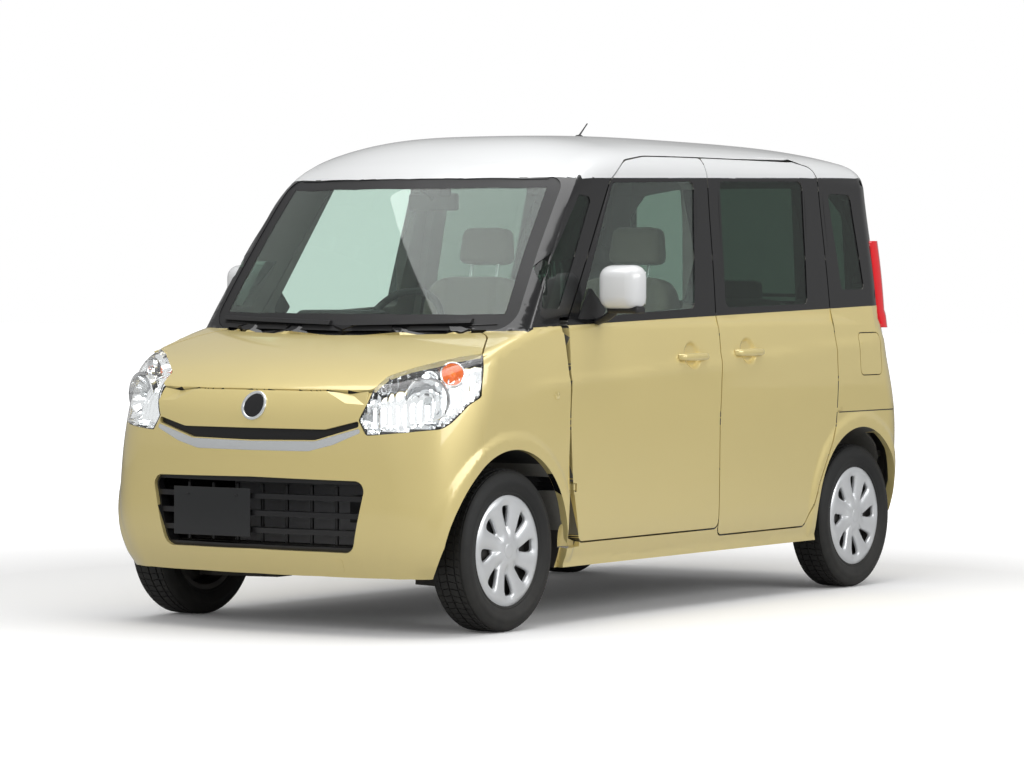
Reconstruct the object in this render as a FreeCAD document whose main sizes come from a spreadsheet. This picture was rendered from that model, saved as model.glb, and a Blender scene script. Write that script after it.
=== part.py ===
"""Tall-wagon kei car with rear sliding doors, as separate named pieces.

Millimetres. +X is forward, +Y is the car's left, +Z is up. The origin is on the ground,
midway along and across the car.
"""
import FreeCAD, Part

import math
import os

import Sketcher
from FreeCAD import Placement, Rotation, Vector

doc = FreeCAD.newDocument("KeiCar")
sheet = doc.addObject("Spreadsheet::Sheet", "Sizes")
sheet.Label = "Sizes"

# Driving sizes
SIZES = {
    # shut lines, panels and glass
    "shut_gap": 6.0,
    "seat_gap": 0.3,
    "door_thick": 52.0,
    "panel_thick": 14.0,
    "glass_inset": 2.5,
    "glass_thick": 4.0,
    "glass_lap": 14.0,
    "roof_thick": 36.0,
    "roof_skin": 12.0,
    "nose_wall": 40.0,
    "screen_wall": 40.0,
    # belt line and floor
    "belt_front_height": 1033.0,
    "belt_rear_height": 1098.0,
    "belt_front_x": 1141.0,
    "belt_rear_x": -1459.0,
    "sill_height": 200.0,
    "floor_height": 330.0,
    "floor_thick": 26.0,
    "front_door_low": 288.0,
    "slide_door_low": 262.0,
    "door_top": 1656.0,
    # wheels and tyres
    "front_axle_x": 1190.0,
    "rear_axle_x": -1235.0,
    "axle_height": 278.5,
    "front_track": 1295.0,
    "rear_track": 1290.0,
    "tyre_radius": 278.5,
    "tyre_width": 155.0,
    "bead_radius": 177.8,
    "bead_width": 114.0,
    "flange_radius": 193.0,
    "barrel_thick": 7.0,
    "slot_count": 8.0,
    "slot_inner_radius": 88.0,
    "slot_outer_radius": 158.0,
    "slot_inner_width": 22.0,
    "slot_outer_width": 46.0,
    "hub_radius": 66.0,
    "spindle_radius": 24.0,
    "bearing_gap": 0.05,
    # wheel arches and steering
    "front_arch_radius": 345.0,
    "rear_arch_radius": 322.0,
    "rear_arch_drop": 26.0,
    "front_apron_y": 388.0,
    "rear_apron_y": 535.0,
    "apron_thick": 8.0,
    "kingpin_top_y": 500.0,
    "kingpin_top_z": 760.0,
    "kingpin_low_y": 596.0,
    "kingpin_low_z": 165.0,
    "ball_radius": 13.0,
    "top_mount_radius": 26.0,
    "strut_radius": 24.0,
    "spring_radius": 50.0,
    "disc_radius": 108.0,
    "arm_thick": 20.0,
    "crossmember_height": 65.0,
    "axle_beam_x": -1080.0,
    "axle_beam_radius": 35.0,
    "arm_bush_x": -820.0,
    "arm_bush_radius": 30.0,
    "arm_y": 480.0,
    "hinge_pin_radius": 4.0,
    "hinge_pin_gap": 0.1,
    "wheel_rim_radius": 186.0,
    "wheel_grip_radius": 14.0,
    "wheel_x": 330.0,
    "wheel_y": -345.0,
    "wheel_z": 1003.0,
    "column_tilt": 28.0,
    "firewall_x": 1000.0,
    "rear_kick_x": -900.0,
    "rear_floor_height": 520.0,
    "post_depth": 92.0,
    "tower_radius": 74.0,
    "rail_y": 320.0,
    "rail_width": 56.0,
    "rail_height": 90.0,
    "rail_z": 380.0,
    "rear_bumper_low": 286.0,
    "roof_seam_y": 572.0,
    "rear_bumper_top": 598.0,
    # hinges
    "front_hinge_x": 803.0,
    "front_hinge_y": 715.0,
    "hinge_sweep": 42.0,
    "hinge_sweep_inner": 50.0,
    "bonnet_hinge_x": 1112.0,
    "bonnet_hinge_z": 1012.0,
    "tail_seam_x": -1440.0,
    "tail_hinge_x": -1468.0,
    "tail_hinge_z": 1680.0,
    "tail_sweep": 38.0,
    "lid_hinge_x": -1243.0,
    "lid_hinge_y": 727.5,
    "lid_hinge_z": 909.0,
    # seats and cabin
    "seat_y": 340.0,
    "seat_width": 480.0,
    "seat_cushion_z": 660.0,
    "seat_front_x": 330.0,
    "seat_back_x": -150.0,
    "seat_back_z": 1215.0,
    "headrest_z": 1400.0,
    "rear_seat_width": 1030.0,
    "rear_seat_front_x": -640.0,
    "rear_seat_back_z": 1120.0,
    "dash_face_x": 560.0,
    "dash_top_z": 1035.0,
    # engine, tank and exhaust
    "engine_length": 360.0,
    "engine_width": 560.0,
    "engine_height": 420.0,
    "tank_length": 520.0,
    "tank_width": 620.0,
    "tank_height": 96.0,
    "pipe_radius": 22.0,
    "muffler_radius": 72.0,
    "muffler_length": 420.0,
    # mounts
    "tow_bore_radius": 15.0,
    "tow_plate_thick": 10.0,
    "tow_eye_x": -1530.0,
    "tow_eye_y": 370.0,
    "tow_eye_z": 255.0,
    "plate_hole_pitch": 210.0,
    "plate_hole_radius": 3.0,
    "plate_hole_z": 840.0,
}

# Lower body in plan: height, half width, nose x, nose corner radius, tail x, tail corner radius
LOWER_PLAN = [
    (180.0, 690.0, 1640.0, 230.0, -1630.0, 190.0),
    (300.0, 719.0, 1684.0, 215.0, -1664.0, 190.0),
    (480.0, 732.0, 1695.0, 228.0, -1690.5, 198.0),
    (690.0, 737.5, 1691.0, 300.0, -1682.5, 200.0),
    (850.0, 736.0, 1663.0, 346.0, -1634.0, 193.0),
    (1000.0, 718.0, 1620.0, 350.0, -1602.0, 185.0),
    (1140.0, 693.5, 1580.0, 350.0, -1601.0, 179.0),
]
# Upper body in plan: height, half width, tail x, tail corner radius
UPPER_PLAN = [
    (1000.0, 707.0, -1596.0, 178.0),
    (1250.0, 678.0, -1592.0, 170.0),
    (1540.0, 639.5, -1572.0, 160.0),
    (1640.0, 616.0, -1555.0, 150.0),
    (1675.0, 588.0, -1531.0, 142.0),
    (1702.0, 545.0, -1497.0, 135.0),
    (1770.0, 440.0, -1425.0, 120.0),
]
UPPER_NOSE_X = 1420.0
UPPER_NOSE_RADIUS = 200.0
NOSE_BOW = 2800.0
TAIL_BOW = 5200.0
# Centre line of the bonnet and of the roof, as x and height
BONNET_LINE = [
    (960.0, 1058.0),
    (1180.0, 1015.0),
    (1300.0, 982.0),
    (1400.0, 950.0),
    (1500.0, 912.0),
    (1560.0, 883.0),
    (1600.0, 860.0),
    (1640.0, 831.0),
    (1680.0, 780.0),
    (1730.0, 700.0),
]
BONNET_PLAN_BOW = 3300.0
ROOF_LINE = [
    (-1720.0, 1640.0),
    (-1620.0, 1668.0),
    (-1500.0, 1693.0),
    (-1350.0, 1711.0),
    (-1000.0, 1728.0),
    (-500.0, 1735.0),
    (0.0, 1735.0),
    (250.0, 1728.0),
    (479.0, 1707.0),
    (640.0, 1652.0),
    (770.0, 1570.0),
    (900.0, 1470.0),
]
ROOF_EDGE_BASE = 1545.0
ROOF_EDGE_Y = 607.0
ROOF_EDGE_SHARE = 0.38
ROOF_PLAN_BOW = 1650.0
# Windscreen on the centre line, as height and x, and how far its edge falls back
SCREEN_LINE = [(880.0, 1262.0), (1018.0, 1175.0), (1200.0, 1052.0), (1400.0, 903.0),
               (1563.0, 772.0), (1800.0, 570.0)]
SCREEN_PLAN_BOW_LOW = 2200.0
SCREEN_PLAN_BOW_HIGH = 1650.0

for row, (name, value) in enumerate(SIZES.items(), start=1):
    sheet.set("A%d" % row, name)
    sheet.set("B%d" % row, "%g" % value)
    sheet.setAlias("B%d" % row, name)
doc.recompute()


def v(name):
    """Value of one named size."""
    return float(sheet.get(name))


# Small geometry helpers
def spline_solve(pairs, at):
    """Natural cubic through the pairs, at one place."""
    n = len(pairs)
    xs = [p[0] for p in pairs]
    ys = [p[1] for p in pairs]
    a = [0.0] * n
    b = [1.0] * n
    c = [0.0] * n
    d = [0.0] * n
    for i in range(1, n - 1):
        h0 = xs[i] - xs[i - 1]
        h1 = xs[i + 1] - xs[i]
        a[i] = h0
        b[i] = 2.0 * (h0 + h1)
        c[i] = h1
        d[i] = 6.0 * ((ys[i + 1] - ys[i]) / h1 - (ys[i] - ys[i - 1]) / h0)
    for i in range(1, n):
        m = a[i] / b[i - 1]
        b[i] -= m * c[i - 1]
        d[i] -= m * d[i - 1]
    k = [0.0] * n
    k[-1] = d[-1] / b[-1]
    for i in range(n - 2, -1, -1):
        k[i] = (d[i] - c[i] * k[i + 1]) / b[i]
    i = 0
    while i < n - 2 and at > xs[i + 1]:
        i += 1
    h = xs[i + 1] - xs[i]
    t0 = xs[i + 1] - at
    t1 = at - xs[i]
    return (
        (k[i] * t0**3 + k[i + 1] * t1**3) / (6.0 * h)
        + (ys[i] / h - k[i] * h / 6.0) * t0
        + (ys[i + 1] / h - k[i + 1] * h / 6.0) * t1
    )


def arc_points(centre, radius, a0, a1, count):
    """Points along an arc, its start left out."""
    points = []
    for i in range(1, count + 1):
        a = a0 + (a1 - a0) * i / float(count)
        points.append(centre + Vector(radius * math.cos(a), radius * math.sin(a), 0))
    return points


def plan_half(z, w, xf, rf, xr, rr, fine):
    """Left half of one plan outline: bowed nose, round corner, straight side, bowed tail."""
    bow_f, bow_r = NOSE_BOW, TAIL_BOW
    reach_f = math.sqrt((bow_f - rf) ** 2 - (w - rf) ** 2)
    reach_r = math.sqrt((bow_r - rr) ** 2 - (w - rr) ** 2)
    turn_f = math.asin((w - rf) / (bow_f - rf))
    turn_r = math.asin((w - rr) / (bow_r - rr))
    nose = Vector(xf - bow_f, 0, z)
    tail = Vector(xr + bow_r, 0, z)
    corner_f = Vector(xf - bow_f + reach_f, w - rf, z)
    corner_r = Vector(xr + bow_r - reach_r, w - rr, z)
    quarter = math.pi / 2.0
    half_turn = math.pi
    points = [Vector(xf, 0, z)]
    points += arc_points(nose, bow_f, 0.0, turn_f, 2)
    points += arc_points(corner_f, rf, turn_f, quarter, 4 if fine else 3)
    points.append(Vector(corner_r.x, w, z))
    points += arc_points(corner_r, rr, quarter, half_turn - turn_r, 3 if fine else 2)
    points += arc_points(tail, bow_r, half_turn - turn_r, half_turn, 1)
    return points


def flat_face(points):
    return Part.Face(Part.makePolygon(points + [points[0]]))


def skin_rings(rings):
    """Solid between stacked outlines, skinned with flat facets and closed at y = 0."""
    faces = [flat_face(rings[0]), flat_face(rings[-1])]
    for low, high in zip(rings[:-1], rings[1:]):
        for i in range(len(low) - 1):
            p, q, r, s = low[i], low[i + 1], high[i + 1], high[i]
            normal = (q - p).cross(s - p)
            normal.normalize()
            if abs((r - p).dot(normal)) < 1e-6:
                faces.append(flat_face([p, q, r, s]))
            else:
                faces.append(flat_face([p, q, r]))
                faces.append(flat_face([p, r, s]))
    front = [ring[0] for ring in rings]
    back = [ring[-1] for ring in reversed(rings)]
    faces.append(flat_face(front + back))
    return closed_solid(faces)


def closed_solid(faces):
    shell = Part.Shell(faces)
    solid = Part.Solid(shell)
    if solid.Volume < 0:
        solid.reverse()
    return solid


def field_solid(fn, a_list, b_list, far):
    """Solid between a surface of flat facets, given by a formula, and a far plane."""
    grid = [[fn(a, b) for b in b_list] for a in a_list]
    faces = []
    for i in range(len(a_list) - 1):
        for j in range(len(b_list) - 1):
            p, q = grid[i][j], grid[i + 1][j]
            r, s = grid[i + 1][j + 1], grid[i][j + 1]
            faces.append(flat_face([p, q, r]))
            faces.append(flat_face([p, r, s]))
    corners = [far(grid[0][0]), far(grid[-1][0]), far(grid[-1][-1]), far(grid[0][-1])]
    faces.append(flat_face(corners))
    faces.append(flat_face([row[0] for row in grid] + [corners[1], corners[0]]))
    faces.append(flat_face([row[-1] for row in grid] + [corners[2], corners[3]]))
    faces.append(flat_face(grid[0] + [corners[3], corners[0]]))
    faces.append(flat_face(grid[-1] + [corners[2], corners[1]]))
    return closed_solid(faces)


def box(x0, x1, y0, y1, z0, z1):
    return Part.makeBox(x1 - x0, y1 - y0, z1 - z0, Vector(x0, y0, z0))


def prism(points, direction):
    """Solid swept from a flat polygon along a direction."""
    wire = Part.makePolygon(points + [points[0]])
    return Part.Face(wire).extrude(direction)


def round_wire(points, radius):
    """Closed wire through corner points, each corner rounded."""
    n = len(points)
    edges = []
    last = None
    first = None
    for i in range(n):
        p0, p1, p2 = points[i - 1], points[i], points[(i + 1) % n]
        a = p0 - p1
        b = p2 - p1
        la, lb = a.Length, b.Length
        a.normalize()
        b.normalize()
        turn = math.acos(max(-1.0, min(1.0, a.dot(b))))
        r = radius[i] if isinstance(radius, (list, tuple)) else radius
        cut = min(r / math.tan(turn / 2.0), 0.45 * la, 0.45 * lb) if turn < 3.1 else 0.0
        if cut < 0.2:
            start = end = p1
            arc = None
        else:
            r = cut * math.tan(turn / 2.0)
            start = p1 + a * cut
            end = p1 + b * cut
            mid_dir = a + b
            mid_dir.normalize()
            centre = p1 + mid_dir * (r / math.sin(turn / 2.0))
            back = p1 - centre
            back.normalize()
            arc = Part.Arc(start, centre + back * r, end).toShape()
        if last is not None and (start - last).Length > 1e-4:
            edges.append(Part.LineSegment(last, start).toShape())
        if first is None:
            first = start
        if arc is not None:
            edges.append(arc)
        last = end
    if (first - last).Length > 1e-4:
        edges.append(Part.LineSegment(last, first).toShape())
    return Part.Wire(Part.__sortEdges__(edges))


def side_face(points, radius):
    """Rounded outline in the side view, at y = 0."""
    return Part.Face(round_wire([Vector(x, 0, z) for x, z in points], radius))


def grown(face, by):
    """The same outline, set out by a gap."""
    if abs(by) < 1e-6:
        return face
    return face.makeOffset2D(by)


def left_prism(face):
    return face.extrude(Vector(0, 900, 0))


def mirror(shape):
    """The same piece on the other side of the car."""
    return shape.mirror(Vector(0, 0, 0), Vector(0, 1, 0))


def whole(shape):
    """A centre piece from its left half."""
    return shape.fuse(mirror(shape)).removeSplitter()


def pair(shape):
    return Part.makeCompound([shape, mirror(shape)])


def cylinder(radius, length, base, axis):
    return Part.makeCylinder(radius, length, base, axis)


def biggest(shape, count=1):
    """The largest solids of a cut, in order of volume."""
    solids = sorted(shape.Solids, key=lambda s: -s.Volume)
    if count == 1:
        return solids[0]
    return Part.makeCompound(solids[:count])


def belt_z(x):
    """Height of the belt line at one place along the car."""
    slope = (v("belt_front_height") - v("belt_rear_height")) / (
        v("belt_front_x") - v("belt_rear_x")
    )
    return v("belt_rear_height") + slope * (x - v("belt_rear_x"))


def bonnet_z(x, y):
    return spline_solve(BONNET_LINE, min(max(x + y * y / (2 * BONNET_PLAN_BOW), 960.0), 1729.0))


def roof_z(x, y):
    share = max(-1.0, min(1.0, x / 700.0))
    along = max(-1719.0, min(899.0, x + share * y * y / (2 * ROOF_PLAN_BOW)))
    crown = spline_solve(ROOF_LINE, along)
    fall = 1.0 - ROOF_EDGE_SHARE * (abs(y) / ROOF_EDGE_Y) ** 3
    return ROOF_EDGE_BASE + (crown - ROOF_EDGE_BASE) * fall


def screen_x(z, y):
    bow = SCREEN_PLAN_BOW_LOW + (SCREEN_PLAN_BOW_HIGH - SCREEN_PLAN_BOW_LOW) * (
        (z - 1018.0) / (1563.0 - 1018.0)
    )
    return spline_solve(SCREEN_LINE, z) - y * y / (2 * bow)


LOWER_LEVELS = [180.0, 310.0, 500.0, 690.0, 850.0, 1000.0, 1140.0]
UPPER_LEVELS = [1000.0, 1280.0, 1540.0, 1630.0, 1675.0, 1710.0, 1770.0]
ROOF_X = [-1715.0, -1560.0, -1400.0, -900.0, 0.0, 350.0, 560.0, 700.0, 890.0]
ROOF_Y = [0.0, 300.0, 480.0, 590.0, 700.0]
BONNET_X = [960.0, 1180.0, 1350.0, 1480.0, 1580.0, 1660.0, 1729.0]
BONNET_Y = [0.0, 260.0, 500.0, 780.0]
SCREEN_Z = [900.0, 1060.0, 1300.0, 1563.0, 1800.0]
SCREEN_Y = [0.0, 230.0, 450.0, 780.0]


def column(table, k):
    return [(row[0], row[k]) for row in table]


def body_form(side, nose, tail, screen, roof, lid, fine=True):
    """Left half of the whole form, set in by one amount on each kind of wall."""
    rings = []
    for z in LOWER_LEVELS if fine else LOWER_LEVELS[::2]:
        w, xf, rf, xr, rr = [spline_solve(column(LOWER_PLAN, k), z) for k in range(1, 6)]
        rings.append(plan_half(z, w - side, xf - nose, rf - min(nose, 120.0), xr + tail,
                               rr - min(tail, 120.0), fine))
    lower = skin_rings(rings)
    over = field_solid(
        lambda x, y: Vector(x, y, bonnet_z(x, y) - lid), BONNET_X, BONNET_Y,
        lambda p: Vector(p.x, p.y, 1300.0),
    )
    belt = prism(
        [Vector(-2000, -10, belt_z(-2000.0)), Vector(-2000, -10, 1400),
         Vector(2000, -10, 1400), Vector(2000, -10, belt_z(2000.0))],
        Vector(0, 1000, 0),
    )
    lower = lower.cut([belt, over])
    rings = []
    for z in UPPER_LEVELS if fine else UPPER_LEVELS[::2]:
        w, xr, rr = [spline_solve(column(UPPER_PLAN, k), z) for k in range(1, 4)]
        ring = plan_half(z, w - side, UPPER_NOSE_X, UPPER_NOSE_RADIUS, xr + tail,
                         rr - min(tail, 100.0), fine)
        start = len(ring) - (5 if fine else 4)
        rings.append([Vector(UPPER_NOSE_X, 0, z), Vector(UPPER_NOSE_X, w - side, z)]
                     + ring[start:])
    upper = skin_rings(rings)
    top = field_solid(
        lambda x, y: Vector(x, y, roof_z(x, y) - roof), ROOF_X, ROOF_Y,
        lambda p: Vector(p.x, p.y, 1900.0),
    )
    front = field_solid(
        lambda z, y: Vector(screen_x(z, y) - screen, y, z), SCREEN_Z, SCREEN_Y,
        lambda p: Vector(2500.0, p.y, p.z),
    )
    return lower.fuse(upper.cut([top, front]))


pieces = {}


def keep(name, shape, solids=1):
    """Put one finished shape in the document under its node name."""
    obj = doc.addObject("Part::Feature", name)
    obj.Label = name
    obj.Shape = shape
    obj.Placement = Placement()
    pieces[name] = obj
    if len(shape.Solids) != solids:
        raise RuntimeError("%s has %d solids" % (name, len(shape.Solids)))
    return obj


gap = v("shut_gap")
seat = v("seat_gap")
lap = v("glass_lap")
half = box(-2000, 2000, 0, 900, 0, 2000)
door_t = v("door_thick")
panel_t = v("panel_thick")
behind = panel_t + seat * 2
glass_a = v("glass_inset")
glass_b = glass_a + v("glass_thick")
rake = 1.6

outer = body_form(0, 0, 0, 0, 0, 0).cut(box(-2000, 2000, -900, 900, 0, v("sill_height")))
inner = body_form(door_t, v("nose_wall"), door_t, v("screen_wall"), v("roof_thick"), 30.0, False)
cleared = body_form(door_t + gap, v("nose_wall") + gap, door_t + gap, v("screen_wall"),
                    v("roof_thick") + 4.0, 36.0, False)
thin = body_form(panel_t, panel_t, panel_t, panel_t, v("roof_skin"), 16.0)
thin_seat = body_form(behind, behind, behind, behind, v("roof_skin") + seat * 2, 17.0)
glass_out = body_form(glass_a, glass_a, glass_a, glass_a * rake, 3.0, 3.0)
glass_in = body_form(glass_b, glass_b, glass_b, glass_b * rake, 9.0, 9.0)
glass_seat = body_form(glass_b + seat, glass_b + seat, glass_b + seat,
                       (glass_b + seat) * rake, 9.5, 9.5)

# Outlines in the side view
FRONT_DOOR = [
    (760.0, v("front_door_low")), (812.0, 500.0), (833.0, 700.0), (826.0, 900.0),
    (806.0, 1046.0), (425.0, 1552.0), (292.0, 1632.0), (140.0, v("door_top") - 3.0),
    (-248.0, v("door_top")), (-199.0, 1078.0), (-169.0, 684.0), (-180.0, v("front_door_low")),
]
FRONT_DOOR_ROUND = [30, 300, 300, 200, 60, 60, 60, 300, 14, 500, 500, 26]
SLIDE_DOOR = [
    (-186.0, v("slide_door_low")), (-175.0, 684.0), (-205.0, 1078.0), (-254.0, v("door_top")),
    (-950.0, v("door_top") + 4.0), (-1052.0, 1636.0), (-1066.0, 1585.0), (-1056.0, 1092.0),
    (-1053.0, 808.0), (-1040.0, 639.0), (-974.0, 527.0), (-912.0, 425.0), (-872.0, 335.0),
    (-822.0, v("slide_door_low")),
]
SLIDE_DOOR_ROUND = [26, 500, 500, 14, 60, 45, 40, 600, 600, 60, 60, 120, 60, 24]
DOOR_GLASS = [(735.0, 1064.0), (410.0, 1546.0), (-146.0, 1560.0), (-55.0, 1095.0)]
SLIDE_GLASS = [(-278.0, 1096.0), (-330.0, 1563.0), (-947.0, 1575.0), (-887.0, 1106.0)]
QUARTER_CLEAR = [(-1165.0, 1160.0), (-1138.0, 1532.0), (-1312.0, 1530.0), (-1345.0, 1160.0)]
QUARTER_GLASS = [(-1086.0, 1114.0), (-1098.0, 1586.0), (-1440.0, 1590.0), (-1440.0, 1118.0)]
FRONT_QUARTER = [
    (962.0, 1100.0), (849.0, 1098.0), (560.0, 1492.0), (640.0, 1500.0), (900.0, 1232.0)
]
FUEL_LID = [(-1240.0, 829.0), (-1240.0, 990.0), (-1405.0, 990.0), (-1405.0, 829.0)]

door_face = side_face(FRONT_DOOR, FRONT_DOOR_ROUND)
slide_face = side_face(SLIDE_DOOR, SLIDE_DOOR_ROUND)
door_glass_face = side_face(DOOR_GLASS, 24)
slide_glass_face = side_face(SLIDE_GLASS, 24)
quarter_clear_face = side_face(QUARTER_CLEAR, 20)
quarter_face = side_face(QUARTER_GLASS, 26)
front_quarter_face = side_face(FRONT_QUARTER, 16)
lid_face = side_face(FUEL_LID, 22)


def wall_piece(zone, out_form=None, in_form=None):
    """The part of a wall that lies inside a zone."""
    return zone.common(out_form or outer).cut(in_form or inner)


def glazed(wall, clear_face, sweep, out_form=None, seat_form=None):
    """Cut a window through a wall, with the rebate its glass lies in."""
    rebate = wall_piece(sweep(grown(clear_face, lap + seat)), out_form, seat_form or glass_seat)
    return wall.cut(sweep(clear_face)).cut(rebate)


def pane(clear_face, sweep, out_form=None, in_form=None):
    shape = wall_piece(
        sweep(grown(clear_face, lap)), out_form or glass_out, in_form or glass_in
    )
    return biggest(shape)


# The headlamp is drawn as seen from its own quarter view
lamp_turn = math.radians(33.9)
lamp_dir = Vector(math.cos(lamp_turn), math.sin(lamp_turn), 0)
lamp_side = Vector(-math.sin(lamp_turn), math.cos(lamp_turn), 0)
LAMP = [
    (-569.0, 729.0), (-545.0, 679.0), (-290.0, 702.0), (-258.0, 724.0), (-204.0, 779.0),
    (-164.0, 806.0), (-154.0, 942.0), (-158.0, 953.0), (-178.0, 957.0), (-265.0, 938.0),
    (-375.0, 911.0), (-482.0, 877.0), (-512.0, 851.0), (-518.0, 837.0),
]
LAMP_ROUND = [14, 14, 60, 60, 60, 14, 8, 6, 20, 200, 200, 40, 20, 30]
lamp_face = Part.Face(
    round_wire([lamp_dir * 1000 + lamp_side * s + Vector(0, 0, z) for s, z in LAMP], LAMP_ROUND)
)


def lamp_sweep(face):
    return face.extrude(lamp_dir * 900)


BONNET_HALF = [
    (1218.0, 0.0), (1200.0, 240.0), (1150.0, 470.0), (1120.0, 556.0), (1165.0, 609.0),
    (1250.0, 655.0), (1320.0, 694.0), (1385.0, 616.0), (1466.0, 537.0), (1538.0, 464.0),
    (1604.0, 455.0), (1630.0, 240.0), (1640.0, 0.0),
]
BONNET_ROUND = [400, 400, 200, 20, 200, 300, 12, 300, 300, 20, 30, 800]
bonnet_lean = 0.34
bonnet_slope = Vector(bonnet_lean, 0, 1.0)
bonnet_ref_z = 860.0


def bonnet_zone(by):
    """Bonnet outline from above, leaning forward so that its front edge lifts clear."""
    right = [
        Vector(x - bonnet_lean * (bonnet_z(x, y) - bonnet_ref_z), y, bonnet_ref_z)
        for x, y in BONNET_HALF
    ]
    left = [Vector(p.x, -p.y, p.z) for p in reversed(right[1:-1])]
    rounds = BONNET_ROUND + [800] + BONNET_ROUND[:0:-1]
    face = grown(Part.Face(round_wire(right + left, rounds)), by)
    face.translate(bonnet_slope * -260.0)
    return face.extrude(bonnet_slope * 700.0)


TAIL_HALF = [(0.0, 604.0), (560.0, 604.0), (604.0, 700.0), (600.0, 1000.0), (588.0, 1380.0),
             (566.0, 1600.0), (548.0, 1800.0), (0.0, 1800.0)]
TAIL_ROUND = [0, 70, 300, 600, 600, 300, 0, 0, 0, 300, 600, 600, 300, 70]


def mirrored_face(points, rounds, x):
    """Outline in the front or rear view, given for one side and mirrored."""
    right = [Vector(x, y, z) for y, z in points]
    left = [Vector(p.x, -p.y, p.z) for p in reversed(right[1:-1])]
    return Part.Face(round_wire(right + left, rounds))


def tail_zone(by):
    """Tailgate outline from behind, open at the top edge of the roof."""
    face = grown(mirrored_face(TAIL_HALF, TAIL_ROUND, -2000.0), by)
    return face.extrude(Vector(2000 + v("tail_seam_x") + by, 0, 0))


def front_arch(radius, y_in):
    return cylinder(
        radius, 900 - y_in, Vector(v("front_axle_x"), y_in, v("axle_height")), Vector(0, 1, 0)
    )


def rear_arch(radius, y_in):
    return cylinder(
        radius, 900 - y_in,
        Vector(v("rear_axle_x"), y_in, v("axle_height") + v("rear_arch_drop")), Vector(0, 1, 0),
    )


arch_r = v("front_arch_radius")
rear_r = v("rear_arch_radius")
apron = v("apron_thick")
apron_y = v("front_apron_y")
rear_y = v("rear_apron_y")
sill_z = v("sill_height")
floor_z = v("floor_height")
floor_low = floor_z - v("floor_thick")
rear_floor_z = v("rear_floor_height")
rear_floor_low = rear_floor_z - v("floor_thick")
firewall_x = v("firewall_x")
kick_x = v("rear_kick_x")
bumper_low = v("rear_bumper_low")
bumper_top = v("rear_bumper_top")

# Front bumper and wing seams in the side view
BUMPER_SIDE = [(1396.0, 830.0), (1365.0, 600.0), (1336.0, 545.0), (1336.0, 60.0),
               (1900.0, 60.0), (1900.0, 1010.0), (1396.0, 1010.0)]
WING_SIDE = [(838.0, 1046.0), (1160.0, 1034.0), (1200.0, 1060.0), (1600.0, 1060.0),
             (1600.0, 60.0), (838.0, 60.0)]
bumper_face = side_face(BUMPER_SIDE, [2, 30, 30, 0, 0, 0, 0])
wing_face = side_face(WING_SIDE, 0)
rear_bumper_zone = box(-1900, -1356, -900, 900, bumper_low, bumper_top)
bonnet_in = bonnet_zone(0.0)
bonnet_out = bonnet_zone(gap)
lamp_in = lamp_sweep(lamp_face)
lamp_out = lamp_sweep(grown(lamp_face, seat))
door_out = left_prism(grown(door_face, gap))
slide_out = left_prism(grown(slide_face, gap))
bumper_in = left_prism(bumper_face)
bumper_out = left_prism(grown(bumper_face, seat))

hinge_x = v("front_hinge_x")
hinge_y = v("front_hinge_y")
door_sweep = cylinder(
    v("hinge_sweep"), 800, Vector(hinge_x, hinge_y, 270), Vector(0, 0, 1)
).common(box(0, 2000, hinge_y, 900, 0, 2000)).fuse(
    cylinder(
        v("hinge_sweep_inner"), 800, Vector(hinge_x, hinge_y, 270), Vector(0, 0, 1)
    ).common(box(0, 2000, 0, hinge_y, 0, 2000))
)
tail_x = v("tail_hinge_x")
tail_z = v("tail_hinge_z")
tail_sweep = cylinder(v("tail_sweep"), 552, Vector(tail_x, 0, tail_z), Vector(0, 1, 0))

# Left half of the body shell: walls, floor, aprons and pillars
walls = outer.cut(inner)
floor_plate = inner.common(
    Part.makeCompound([
        box(kick_x, firewall_x + apron, 0, 900, floor_low, floor_z),
    ])
)
rear_floor = inner.common(
    box(-1900, kick_x, 0, 900, rear_floor_low, rear_floor_z).fuse(
        box(kick_x - apron, kick_x, 0, 900, floor_low, rear_floor_z)
    )
)
firewall = inner.common(box(firewall_x, firewall_x + apron, 0, 900, floor_low, 1010.0))
sill = inner.common(box(kick_x, firewall_x, 590, 900, sill_z, floor_z))
front_house = inner.common(
    box(firewall_x, 1545.0, apron_y - apron, apron_y, floor_z, 900.0).fuse(
        front_arch(arch_r + apron, apron_y - apron).common(box(0, 2000, 0, 900, sill_z, 900))
    )
)
tower_base = Vector(v("front_axle_x"), v("kingpin_top_y") + 6.0, 590.0)
tower_low = v("kingpin_top_z") + seat - 590.0
tower_bore = cylinder(v("tower_radius"), tower_low, tower_base, Vector(0, 0, 1))
tower = cylinder(v("tower_radius") + apron, tower_low + 12.0, tower_base, Vector(0, 0, 1)).cut(
    tower_bore
)
rear_house = inner.common(
    rear_arch(rear_r + apron, rear_y - apron).common(box(-2000, 0, 0, 900, sill_z, 900))
).cut(box(-1280.0, -1190.0, rear_y - 20.0, rear_y + 5.0, 0, 326.0))
post_zone = prism(
    [Vector(-262, 300, 210), Vector(-130, 300, 210), Vector(-160, 300, 1080),
     Vector(-205, 300, 1720), Vector(-290, 300, 1720), Vector(-240, 300, 1080)],
    Vector(0, 600, 0),
)
post_in = body_form(v("post_depth"), 60, 60, 60, v("roof_thick") + 30.0, 60, False)
b_post = post_zone.common(inner).cut(post_in)
front_rail = box(firewall_x, 1560.0, v("rail_y"), v("rail_y") + v("rail_width"),
                 v("rail_z"), v("rail_z") + v("rail_height"))
radiator_panel = box(1520.0, 1560.0, 0, 560, 240, 800).cut(box(1500, 1600, -1, 470, 300, 740))
nose_beam = wall_piece(box(1500, 1900, 0, 560, 556, 612), thin_seat, inner)
nose_stays = box(1555.0, 1660.0, v("rail_y"), v("rail_y") + v("rail_width"), 560, 608)
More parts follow.
